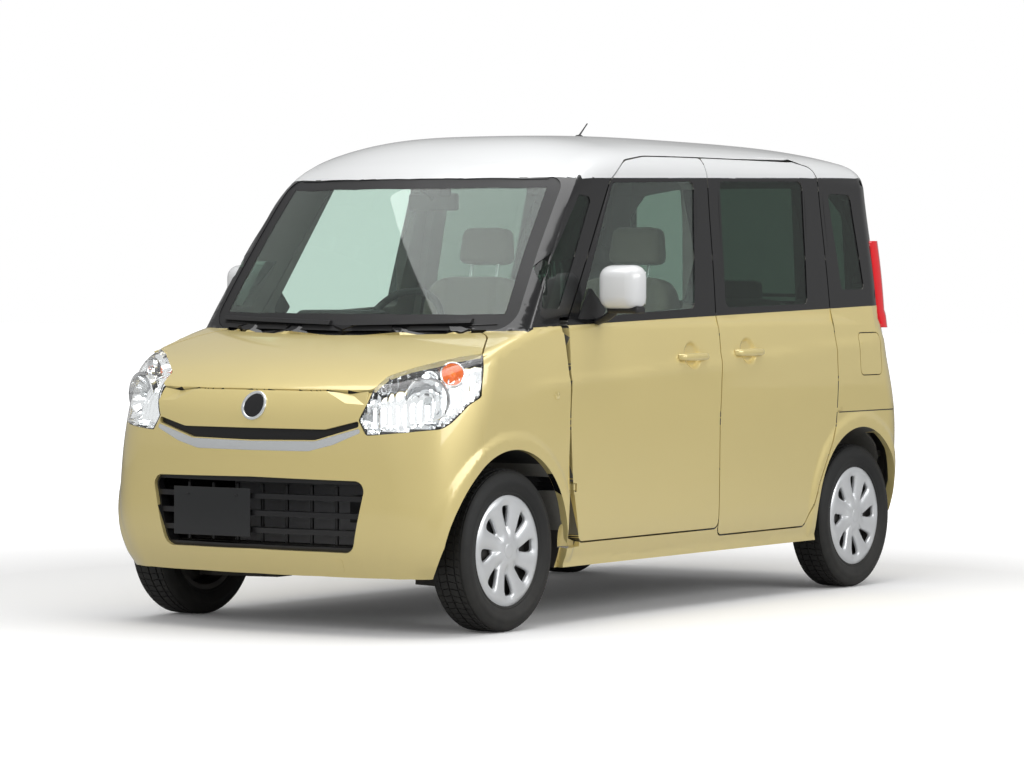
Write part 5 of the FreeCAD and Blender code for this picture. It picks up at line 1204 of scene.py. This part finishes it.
class KEICAR_OT_side_trim(bpy.types.Operator):
    """Door handles, door mirrors, slide rail, antenna and rear fittings"""
    bl_idname = "keicar.side_trim"
    bl_label = "Side and rear trim"

    def execute(self, context):
        for sign, tag in SIDES:
            for (cx, cz), body, name in zip(
                    HANDLES, ("door_" + tag, "body"), ("door_handle_", "slide_handle_")):
                xs = np.array([-94, -86, -60, 0, 60, 86, 94]) + cx
                lift = [0.0, 13.0, 19.0, 21.0, 19.0, 13.0, 0.0]
                pts = [drop(np.array([[x, 900.0 * sign, cz - 4]]), (0, -sign, 0), lv - 1.0)[0]
                       for x, lv in zip(xs, lift)]
                for p, lv in zip(pts, lift):
                    p[1] = sign * (surface_y(cx + 80, cz) + lv)
                path = curve_points(np.array(pts) / 1000, 22)
                grip = tube(name, path, [0.011 + 0.003 * math.sin(math.pi * k / 21)
                                         for k in range(22)], 16, 0.6, (0, 1, 0))
                piece(name + tag, grip, F["body"], body)
                if name == "door_handle_":
                    lock = bulb("lock", (cx / 1000 + 0.078, sign * (surface_y(cx + 80, cz)
                                + 13) / 1000, cz / 1000 - 0.004), (0, sign, 0), 0.006, 0.004)
                    piece("door_lock_" + tag, lock, F["satin"], body)
            head = rounded_block("head", (0.108, 0.176, 0.166), (0, 0, 0), 0.046)
            for vert in head.vertices:
                t = (vert.co.x + 0.054) / 0.108
                vert.co.y *= 1.0 - 0.10 * t
                vert.co.z *= 1.0 - 0.12 * t
            moved(head, Matrix.Translation((0.640, sign * 0.824, 1.174)))
            base = rounded_block("base", (0.060, 0.130, 0.026), (0.632, sign * 0.835, 1.096),
                                 0.011)
            arm = tube("arm", curve_points([(0.612, sign * 0.698, 1.052),
                                            (0.622, sign * 0.745, 1.066),
                                            (0.632, sign * 0.790, 1.094)], 8), 0.020, 14, 0.62)
            shell = join_meshes("mirror", [head, tinted(base, 1), tinted(arm, 1)])
            piece("mirror_shell_" + tag, shell, [F["white"], F["satin"]], "door_" + tag,
                  "mirror_" + tag)
            glass = rounded_block("glass", (0.003, 0.126, 0.114), (0.585, sign * 0.824, 1.172),
                                  0.0012)
            piece("mirror_glass_" + tag, glass, F["mirror"], "door_" + tag)
            foot = side_patch("foot", [(735, 1062), (585, 1062), (556, 1096), (640, 1172)],
                              sign, level=7.0, under=-3.0, rounded=7.0)
            piece("mirror_foot_" + tag, foot, F["satin"], "door_" + tag)
            rail = side_patch("rail", [(-1052, 692), (-1520, 692), (-1520, 702), (-1052, 702)],
                              sign, level=-3.0, under=-9.0, rounded=3.0)
            piece("slide_rail_" + tag, rail, F["satin"], "body")
            trim = side_patch("trim", [(-1062, 686), (-1516, 686), (-1516, 690), (-1062, 690)],
                              sign, level=0.5, under=-2.0)
            piece("rail_lip_" + tag, trim, F["satin"], "body")
        top = roof_z(np.array([ANTENNA_X * 1000]), np.array([0.0]))[0] / 1000
        foot = turned("foot", [(0.0, 0.0), (0.0, 0.022), (0.006, 0.020), (0.014, 0.011),
                               (0.016, 0.0)], 28, closed=False)
        moved(foot, Matrix.Translation((ANTENNA_X, 0, top - 0.001))
              @ Matrix.Rotation(math.pi / 2, 4, "X"))
        length = context.scene.kei_car_trim.antenna_length
        rod = tube("rod", [(ANTENNA_X - math.cos(ANTENNA_LEAN) * length * t, 0,
                            top + 0.010 + math.sin(ANTENNA_LEAN) * length * t)
                           for t in (0, 0.3, 0.7, 1)],
                   [0.004, 0.003, 0.0025, 0.0025], 10, 1.0, (0, 1, 0))
        piece("antenna", join_meshes("antenna", [foot, rod]), F["satin"], "body")
        grip = tail_patch("grip", [(-190, 912), (190, 912), (190, 952), (-190, 952)],
                          level=14.0, under=-4.0, rounded=12.0)
        piece("tailgate_grip", grip, F["body"], "tail_door", bevel=0.002)
        bed = tail_patch("bed", [(-172, 752), (172, 752), (172, 902), (-172, 902)], level=1.5,
                         under=-2.0, rounded=10.0)
        piece("plate_bed", bed, F["satin"], "tail_door")
        x = drop(np.array([[-1900.0, 0.0, 828.0]]), (1, 0, 0), 5.0)[0][0] / 1000
        rear = rounded_block("rear", (0.004, 0.33, 0.165), (x, 0, 0.828), 0.0018)
        piece("rear_plate", rear, F["plate"], "tail_door")
        return {"FINISHED"}


def surface_y(x, z):
    """Half width of the body at one place."""
    return float(drop(np.array([[x, 900.0, z]]), (0, -1, 0), 0.0)[0][1])


COVER_ROWS = [(14, 71.0), (30, 71.0), (48, 69.5), (66, 64.5), (84, 64.0), (96, 65.5),
              (126, 67.5), (154, 69.5), (164, 70.5), (176, 70.0), (188, 65.0), (193, 61.0)]


# How far the cover dips, in millimetres, across one opening and the spoke beside it.
COVER_DIPS = (-1.2, 0.8, 5.5, 6.0, 6.0, 1.5, -1.0)
OPENINGS = 8


def wheel_cover():
    """Full cover with openings that widen outwards, spokes crowned between them."""
    points, faces = [], []
    for r, y in COVER_ROWS:
        if r < 84:
            half = math.radians(3.0 + 2.0 * r / 84)
        else:
            half = math.asin((7.0 + 15.5 * rise((min(r, 154) - 84) / 60.0)) / r)
        swirl = math.radians(4.5) * rise((r - 70) / 90.0)
        for s in range(OPENINGS):
            base = s * math.pi / 4
            edge = math.pi / 8
            for c, a in enumerate((-edge, -(edge + half) / 2, -half, -half * 0.4, half * 0.4,
                                   half, (edge + half) / 2)):
                dip = COVER_DIPS[c] if 60 < r < 176 else 0.0
                ang = base + a + swirl
                points.append((r * math.sin(ang), y - dip, r * math.cos(ang)))
    columns = len(COVER_DIPS)
    n = OPENINGS * columns
    for i in range(len(COVER_ROWS) - 1):
        opening = 84 <= COVER_ROWS[i][0] and COVER_ROWS[i + 1][0] <= 154
        for j in range(n):
            if opening and j % columns in (2, 3, 4):
                continue
            k = (j + 1) % n
            faces.append((i * n + j, (i + 1) * n + j, (i + 1) * n + k, i * n + k))
    faces.append(tuple(range(n)))
    bm = bmesh.new()
    verts = [bm.verts.new(Vector(p) / 1000) for p in points]
    for f in faces:
        bm.faces.new([verts[i] for i in f])
    bmesh.ops.recalc_face_normals(bm, faces=bm.faces)
    rim_edges = [e for e in bm.edges if len(e.link_faces) == 1]
    got = bmesh.ops.extrude_edge_only(bm, edges=rim_edges)
    for v in [g for g in got["geom"] if isinstance(g, bmesh.types.BMVert)]:
        v.co.y -= 0.013
    me = bpy.data.meshes.new("cover")
    bmesh.ops.recalc_face_normals(bm, faces=bm.faces)
    bm.to_mesh(me)
    bm.free()
    return me


ROUNDNESS = 5.0          # power of a cushion's rounded box: higher is squarer
CHANNEL_WIDTH, CHANNEL_DEPTH = 0.035, 0.009     # share of the half size, and metres


def cushion(name, low, high, crown, bolster, channels, density=30):
    """Stuffed block between two corners in metres: crowned faces, sides pulled in between its
    corners, raised edges along Y and sewn channels across its top face."""
    low, high = Vector(low), Vector(high)
    size = (high - low) / 2
    bm = bmesh.new()
    bmesh.ops.create_cube(bm, size=2.0)
    bmesh.ops.subdivide_edges(bm, edges=bm.edges[:], cuts=density, use_grid_fill=True)
    for vert in bm.verts:
        u = np.array(vert.co)
        r = (np.abs(u) ** ROUNDNESS).sum() ** (1 / ROUNDNESS)
        u = u / r
        x, y, z = u
        top = rise((z - 0.1) / 0.9)
        lift = crown[0] * (1 - x * x) * (1 - y * y) * top
        lift += bolster * top * rise((abs(y) - 0.55) / 0.3)
        for axis, at in channels:
            t = ((x if axis == "x" else abs(y)) - at) / CHANNEL_WIDTH
            lift -= CHANNEL_DEPTH * math.exp(-t * t) * top
        pull = crown[1] * (1 - z * z)
        px = x * size.x - pull * (1 - abs(y)) * x * 0.5
        py = y * size.y - pull * (1 - abs(x)) * y * 0.5
        vert.co = Vector((px, py, z * size.z + lift))
    bmesh.ops.translate(bm, vec=(low + high) / 2, verts=bm.verts)
    me = bpy.data.meshes.new(name)
    bm.to_mesh(me)
    bm.free()
    return outward(me)


def back_cushion(name, foot, height, width, depth, lean, channels=(), bolster=0.018, taper=0.08):
    """A seat back: a cushion stood on end at its foot, leaning rearwards."""
    me = cushion(name, (0, -width / 2, -depth / 2), (height, width / 2, depth / 2),
                 (0.014, 0.010), bolster, channels, density=34)
    for vert in me.vertices:
        vert.co.y *= 1.0 - taper * max(0.0, vert.co.x / height)
    up = Vector((-math.sin(lean), 0, math.cos(lean)))
    front = Vector((math.cos(lean), 0, math.sin(lean)))
    turn = Matrix((up, Vector((0, 1, 0)), front)).transposed().to_4x4()
    return outward(moved(me, Matrix.Translation(foot) @ turn))


class KEICAR_OT_seats(bpy.types.Operator):
    """Front seats and rear bench with their head restraints"""
    bl_idname = "keicar.seats"
    bl_label = "Seats"

    def execute(self, context):
        for sign, tag in SIDES:
            y = 0.34 * sign
            piece("seat_base_" + tag, join_meshes("base", [
                rounded_block("base", (0.36, 0.34, 0.19), (0.07, y, 0.425), 0.02),
                rounded_block("rail", (0.44, 0.03, 0.03), (0.07, y + 0.17, 0.347), 0.006),
                rounded_block("rail", (0.44, 0.03, 0.03), (0.07, y - 0.17, 0.347), 0.006)]),
                F["dash"], "body", "front_seats")
            pad = cushion("pad", (-0.15, y - 0.24, 0.52), (0.33, y + 0.24, 0.635),
                          (0.016, 0.012), 0.014, (("x", -0.55), ("y", 0.55)))
            back = back_cushion("back", (-0.085, y, 0.56), 0.655, 0.47, 0.12, 0.13,
                                (("x", -0.25), ("y", 0.55)))
            head = back_cushion("head", (-0.224, y, 1.252), 0.145, 0.235, 0.082, 0.09, (),
                                0.0, 0.16)
            posts = [tube("post", [(-0.196, y + d, 1.19), (-0.226, y + d, 1.30)], 0.006, 12)
                     for d in (-0.06, 0.06)]
            piece("seat_posts_" + tag, join_meshes("posts", posts), F["chrome"], "body",
                  "front_seats")
            for name, me in (("seat_pad_", pad), ("seat_back_", back), ("headrest_", head)):
                o = piece(name + tag, me, F["seat"], "body", "front_seats",
                          smooth=60)
            bench = cushion("bench", (-1.02, 0.004 if sign > 0 else -0.512, 0.525),
                            (-0.645, 0.512 if sign > 0 else -0.004, 0.665), (0.014, 0.010),
                            0.0, (("x", -0.35),))
            rear = back_cushion("rear", (-1.045, 0.257 * sign, 0.60), 0.53, 0.505, 0.11, 0.12,
                                (("x", -0.1),), 0.006, 0.02)
            rest = back_cushion("rest", (-1.125, 0.25 * sign, 1.115), 0.082, 0.20, 0.062, 0.08,
                                (), 0.0, 0.1)
            for name, me in (("rear_pad_", bench), ("rear_back_", rear), ("rear_rest_", rest)):
                o = piece(name + tag, me, F["seat"], "body", "rear_seat",
                          smooth=60)
        return {"FINISHED"}


DRIVER_Y = -0.345
STEERING_AT, STEERING_TILT = (0.330, DRIVER_Y, 1.003), math.radians(28)


class KEICAR_OT_cabin(bpy.types.Operator):
    """Steering wheel, dash details, inner mirror and seat belts"""
    bl_idname = "keicar.cabin"
    bl_label = "Cabin"

    def execute(self, context):
        turn = Matrix.Translation(STEERING_AT) @ Matrix.Rotation(-STEERING_TILT, 4, "Y") \
            @ Matrix.Rotation(-math.pi / 2, 4, "Z")
        rim = turned("rim", [(0.014 * c, 0.172 + 0.014 * s) for c, s in circle(16)], 72)
        boss = rounded_block("boss", (0.15, 0.05, 0.13), (0, 0.012, -0.005), 0.022)
        spokes = [rounded_block("spoke", (0.34, 0.020, 0.036), (0, 0.006, 0.012), 0.008),
                  rounded_block("spoke", (0.045, 0.020, 0.16), (0, 0.006, -0.09), 0.008)]
        wheel = moved(join_meshes("wheel", [rim, boss] + spokes), turn)
        piece("steering_rim", wheel, F["dash"], "steering",
              "steering_wheel", levels=1)
        hood = rounded_block("hood", (0.20, 0.32, 0.085), (0.70, DRIVER_Y, 1.045), 0.035)
        display = rounded_block("display", (0.03, 0.24, 0.13), (0.585, 0.0, 0.955), 0.008)
        glass = rounded_block("glass", (0.004, 0.21, 0.105), (0.569, 0.0, 0.955), 0.002)
        vents = [rounded_block("vent", (0.03, 0.12, 0.07), (0.58, y, 0.955), 0.012)
                 for y in (-0.56, 0.56)]
        shelf = rounded_block("shelf", (0.24, 1.24, 0.03), (0.80, 0.0, 1.032), 0.014)
        dash = join_meshes("dash", [hood, display, tinted(glass, 1), shelf] + vents)
        piece("dash_details", dash, [F["dash"], F["screen"]], "body")
        eye = rounded_block("eye", (0.022, 0.215, 0.062), (0.612, 0.0, 1.478), 0.010)
        face = rounded_block("face", (0.002, 0.20, 0.050), (0.6, 0.0, 1.478), 0.001)
        stalk = tube("stalk", [(0.622, 0, 1.49), (0.64, 0, 1.512), (0.634, 0, 1.545)], 0.008)
        camera = rounded_block("camera", (0.075, 0.07, 0.045), (0.655, 0.05, 1.520), 0.012)
        piece("inner_mirror", join_meshes("mirror", [eye, tinted(face, 1), stalk, camera]),
              [F["dash"], F["mirror"]], "body")
        for sign, tag in SIDES:
            path = [(-0.235, sign * 0.592, 1.42), (-0.238, sign * 0.60, 1.1),
                    (-0.24, sign * 0.61, 0.7), (-0.242, sign * 0.612, 0.42)]
            strap = tube("strap", curve_points(path, 14), 0.023, 10, 0.06, (0, 1, 0))
            ring = rounded_block("ring", (0.05, 0.014, 0.05), (-0.235, sign * 0.592, 1.43),
                                 0.006)
            piece("seat_belt_" + tag, join_meshes("belt", [strap, tinted(ring, 1)]),
                  [F["belt"], F["dash"]], "body")
        return {"FINISHED"}


MM = 0.001
HALF_TRACKS = (("front", AXLE_FRONT, 647.5), ("rear", AXLE_REAR, 645.0))
# (y, radius) in millimetres, outer side first
RIM = [(61, 193), (58.5, 190), (57, 177.9), (40, 176), (30, 168), (-30, 168), (-46, 176),
       (-57, 177.9), (-61, 191), (-63, 193), (-63, 186), (-60, 172), (-45, 169), (-30, 163),
       (28, 163), (42, 171), (56, 172), (60, 186)]
DISC = [(44, 0.5), (44, 60), (36, 90), (30, 120), (26, 164), (22, 164), (26, 118), (32, 88),
        (40, 58), (40, 0.5)]
DRUM = [(20, 0.5), (20, 96), (14, 104), (-22, 106), (-30, 104), (-31, 24.2), (18, 24.2)]
CAP = [(70.5, 26.0), (72.0, 25.0), (73.2, 21.0), (73.6, 12.0), (73.8, 0.4), (70.0, 0.4)]
TYRE_SIDE = [(55.5, 176.5), (60, 184), (64.5, 192), (67, 196), (66.5, 200), (70, 206),
             (73, 216), (75.6, 226), (76.4, 228), (77.4, 234), (77.0, 244), (75.2, 247),
             (74, 254), (70.5, 263), (65, 270), (60, 273.6), (54, 273.4)]
TREAD_ROWS = [(-54, -36, 276.8), (-31.5, -3, 278.2), (3, 31.5, 278.2), (36, 54, 276.8)]
TREAD_FOOT = 270.0
BLOCK_SHARE, BLOCK_SKEW = 0.86, 0.25        # of the pitch, and of the half block


def wheel_turned(name, profile, steps, closed=True):
    """A wheel's part turned from its table."""
    return turned(name, [(y * MM, r * MM) for y, r in profile], steps, closed)


class KEICAR_OT_wheels(bpy.types.Operator):
    """Wheels with full covers, and tyres with tread blocks"""
    bl_idname = "keicar.wheels"
    bl_label = "Wheels and tyres"

    def execute(self, context):
        trim = context.scene.kei_car_trim
        cover = refined(wheel_cover(), levels=2)
        rim = wheel_turned("rim", RIM, 96)
        disc = wheel_turned("disc", DISC, 72, closed=False)
        drum = wheel_turned("drum", DRUM, 72)
        cap = wheel_turned("cap", CAP, 40)
        wheel = join_meshes("wheel", [cover, tinted(rim, 1), tinted(disc, 1), tinted(drum, 2),
                                      cap])
        blocks = []
        for y0, y1, top in TREAD_ROWS:
            half = math.pi / trim.tread_blocks * BLOCK_SHARE
            skew = BLOCK_SKEW * half * (1 if y0 > 0 else -1)
            pts = []
            for r in (TREAD_FOOT, top):
                for y, a in ((y0, -half - skew), (y0, half - skew), (y1, half + skew),
                             (y1, -half + skew)):
                    pts.append((r * math.sin(a), y, r * math.cos(a)))
            blocks.append(outward(mesh_of("block", pts, [
                (0, 1, 2, 3), (4, 5, 6, 7), (0, 1, 5, 4), (1, 2, 6, 5), (2, 3, 7, 6),
                (3, 0, 4, 7)], MM)))
        tread = repeated(join_meshes("blocks", blocks), "Ring of copies",
                         Count=trim.tread_blocks, Finish=F["rubber"])
        carcass = wheel_turned("carcass", TYRE_SIDE + [(-y, r) for y, r in reversed(TYRE_SIDE)]
                               + [(-50, 174.5), (50, 174.5)], 120)
        tyre = join_meshes("tyre", [carcass, tread])
        for end, x, track in HALF_TRACKS:
            for sign, tag in SIDES:
                at = Matrix.Translation((x * MM, sign * track * MM, AXLE_Z * MM))
                flip = Matrix.Identity(4) if sign > 0 else Matrix.Rotation(math.pi, 4, "Z")
                body = "road_wheel_%s_%s" % (end, tag)
                piece("wheel_dress_%s_%s" % (end, tag), moved(wheel.copy(), at @ flip),
                      [F["silver"], F["steel"], F["cast"]], body,
                      "wheel_%s_%s" % (end, tag), smooth=34)
                o = piece("tyre_dress_%s_%s" % (end, tag), moved(tyre.copy(), at @ flip),
                          None, body, "tyre_%s_%s" % (end, tag), smooth=30)
                o.data.materials.clear()
                o.data.materials.append(F["rubber"])
        return {"FINISHED"}


def studio_floor(scene):
    """White floor that darkens to the shadow near the car and glows far from it."""
    me = mesh_of("floor", [(-60, -60, 0), (60, -60, 0), (60, 60, 0), (-60, 60, 0)],
                 [(0, 1, 2, 3)])
    floor = bpy.data.objects.new("floor", me)
    scene.collection.objects.link(floor)
    mat = bpy.data.materials.new("studio_floor")
    mat.use_nodes = True
    tree = mat.node_tree
    shader = tree.nodes["Principled BSDF"]
    shade = tree.nodes.new("ShaderNodeMix")
    shade.data_type = "RGBA"
    shade.inputs["A"].default_value = (0.45, 0.45, 0.45, 1)
    shade.inputs["B"].default_value = (0.93, 0.93, 0.93, 1)
    shader.inputs["Roughness"].default_value = 0.9
    shader.inputs["Emission Color"].default_value = (1, 1, 1, 1)
    path = new_node(tree, "ShaderNodeLightPath")
    spot = new_node(tree, "ShaderNodeTexCoord")
    reach = new_node(tree, "ShaderNodeVectorMath", "LENGTH")
    fade = new_node(tree, "ShaderNodeMapRange", None, {
        "From Min": 2.4, "From Max": 6.5, "To Min": 0.04, "To Max": 1.0})
    seen = new_node(tree, "ShaderNodeMath", "MULTIPLY")
    wire(tree, (spot, "Object", reach, 0), (reach, "Value", fade, "Value"),
               (fade, "Result", seen, 1), (path, "Is Camera Ray", seen, 0),
               (path, "Is Camera Ray", shade, "Factor"), (shade, "Result", shader, "Base Color"),
               (seen, 0, shader, "Emission Strength"))
    me.materials.append(mat)


def studio_world(scene):
    """White to the camera and through glass, dimmer as a light."""
    world = bpy.data.worlds.new("studio")
    scene.world = world
    world.use_nodes = True
    tree = world.node_tree
    back = tree.nodes["Background"]
    back.inputs["Color"].default_value = (1, 1, 1, 1)
    path = new_node(tree, "ShaderNodeLightPath")
    one = new_node(tree, "ShaderNodeMath", "MAXIMUM")
    span = new_node(tree, "ShaderNodeMapRange", None, {"To Min": 0.34, "To Max": 1.0})
    wire(tree, (path, "Is Camera Ray", one, 0), (path, "Is Transmission Ray", one, 1),
               (one, 0, span, "Value"), (span, "Result", back, "Strength"))


# name, place, aim, size of the panel in metres, watts
LAMPS = (("top_light", (0.5, 0.5, 5.5), (0, 0, 0.8), (7.0, 4.0), 225.0),
         ("nose_light", (7.5, 1.0, 3.6), (0.8, 0, 0.8), (4.0, 3.0), 175.0),
         ("side_light", (0.0, 7.5, 3.4), (0, 0, 0.8), (8.0, 2.6), 250.0),
         ("fill_light", (-7.0, -5.0, 4.0), (0, 0, 0.8), (5.0, 3.0), 110.0))
MIRRORED_LAMPS = ("top_light", "side_light")


def studio_lamps(scene):
    """Large soft panels; two of them show in the paint and glass."""
    for name, place, aim, size, power in LAMPS:
        data = bpy.data.lights.new(name, "AREA")
        data.shape, data.size, data.size_y, data.energy = "RECTANGLE", *size, power
        lamp = bpy.data.objects.new(name, data)
        scene.collection.objects.link(lamp)
        lamp.location = place
        lamp.rotation_mode = "QUATERNION"
        lamp.rotation_quaternion = (Vector(aim) - Vector(place)).to_track_quat("-Z", "Y")
        lamp.visible_glossy = name in MIRRORED_LAMPS


# The photograph's camera, fitted to measured points: metres, radians, and pixels of its width.
CAMERA_AT = (12.5200714, 8.35664509, 1.22389996)
CAMERA_YAW, CAMERA_PITCH, CAMERA_ROLL = -2.54913290, 0.027614666, 0.00105969
CAMERA_FOCAL, PHOTO_WIDTH, SENSOR_WIDTH = 4020.20956, 1024, 36.0


def photo_camera(scene):
    """Long lens at the photographed place and angle."""
    yaw, pitch, roll = CAMERA_YAW, CAMERA_PITCH, CAMERA_ROLL
    ahead = Vector((math.cos(yaw) * math.cos(pitch), math.sin(yaw) * math.cos(pitch),
                    -math.sin(pitch)))
    right = Vector((math.sin(yaw), -math.cos(yaw), 0))
    over = right.cross(ahead)
    right, over = (right * math.cos(roll) + over * math.sin(roll),
                   over * math.cos(roll) - right * math.sin(roll))
    data = bpy.data.cameras.new("photo_camera")
    data.sensor_width, data.sensor_fit = SENSOR_WIDTH, "HORIZONTAL"
    data.lens = CAMERA_FOCAL / PHOTO_WIDTH * SENSOR_WIDTH
    data.clip_end = 200.0
    cam = bpy.data.objects.new("photo_camera", data)
    scene.collection.objects.link(cam)
    turn = Matrix((right, over, -ahead)).transposed()
    cam.matrix_world = Matrix.Translation(CAMERA_AT) @ turn.to_4x4()
    scene.camera = cam


class KEICAR_OT_stage(bpy.types.Operator):
    """Floor, soft light and the camera at the photographed angle"""
    bl_idname = "keicar.stage"
    bl_label = "Stage"

    def execute(self, context):
        for build in (studio_floor, studio_world, studio_lamps, photo_camera):
            build(context.scene)
        context.scene.view_settings.view_transform = "Standard"
        return {"FINISHED"}


class KEICAR_PT_panel(bpy.types.Panel):
    """Lists the pieces of the car"""
    bl_idname = "KEICAR_PT_panel"
    bl_label = "Kei car"
    bl_space_type = "VIEW_3D"
    bl_region_type = "UI"
    bl_category = "Kei car"

    def draw(self, context):
        layout = self.layout
        for group in (context.scene.kei_car_look, context.scene.kei_car_trim):
            for name in group.__annotations__:
                layout.prop(group, name)
        for op in OPERATORS:
            layout.operator(op.bl_idname)


OPERATORS = (KEICAR_OT_stage, KEICAR_OT_carried_over, KEICAR_OT_panels, KEICAR_OT_glazing,
             KEICAR_OT_lamps, KEICAR_OT_nose, KEICAR_OT_side_trim, KEICAR_OT_wheels,
             KEICAR_OT_seats, KEICAR_OT_cabin)
CLASSES = (KeiCarLook, KeiCarTrim, *OPERATORS, KEICAR_PT_panel)


def register():
    for c in CLASSES:
        bpy.utils.register_class(c)
    bpy.types.Scene.kei_car_look = bpy.props.PointerProperty(type=KeiCarLook)
    bpy.types.Scene.kei_car_trim = bpy.props.PointerProperty(type=KeiCarTrim)


def unregister():
    del bpy.types.Scene.kei_car_trim
    del bpy.types.Scene.kei_car_look
    for c in reversed(CLASSES):
        bpy.utils.unregister_class(c)


def main():
    register()
    build_finishes(bpy.context.scene.kei_car_look)
    for op in OPERATORS:
        getattr(bpy.ops.keicar, op.bl_idname.split(".")[1])()


if __name__ == "__main__":
    main()
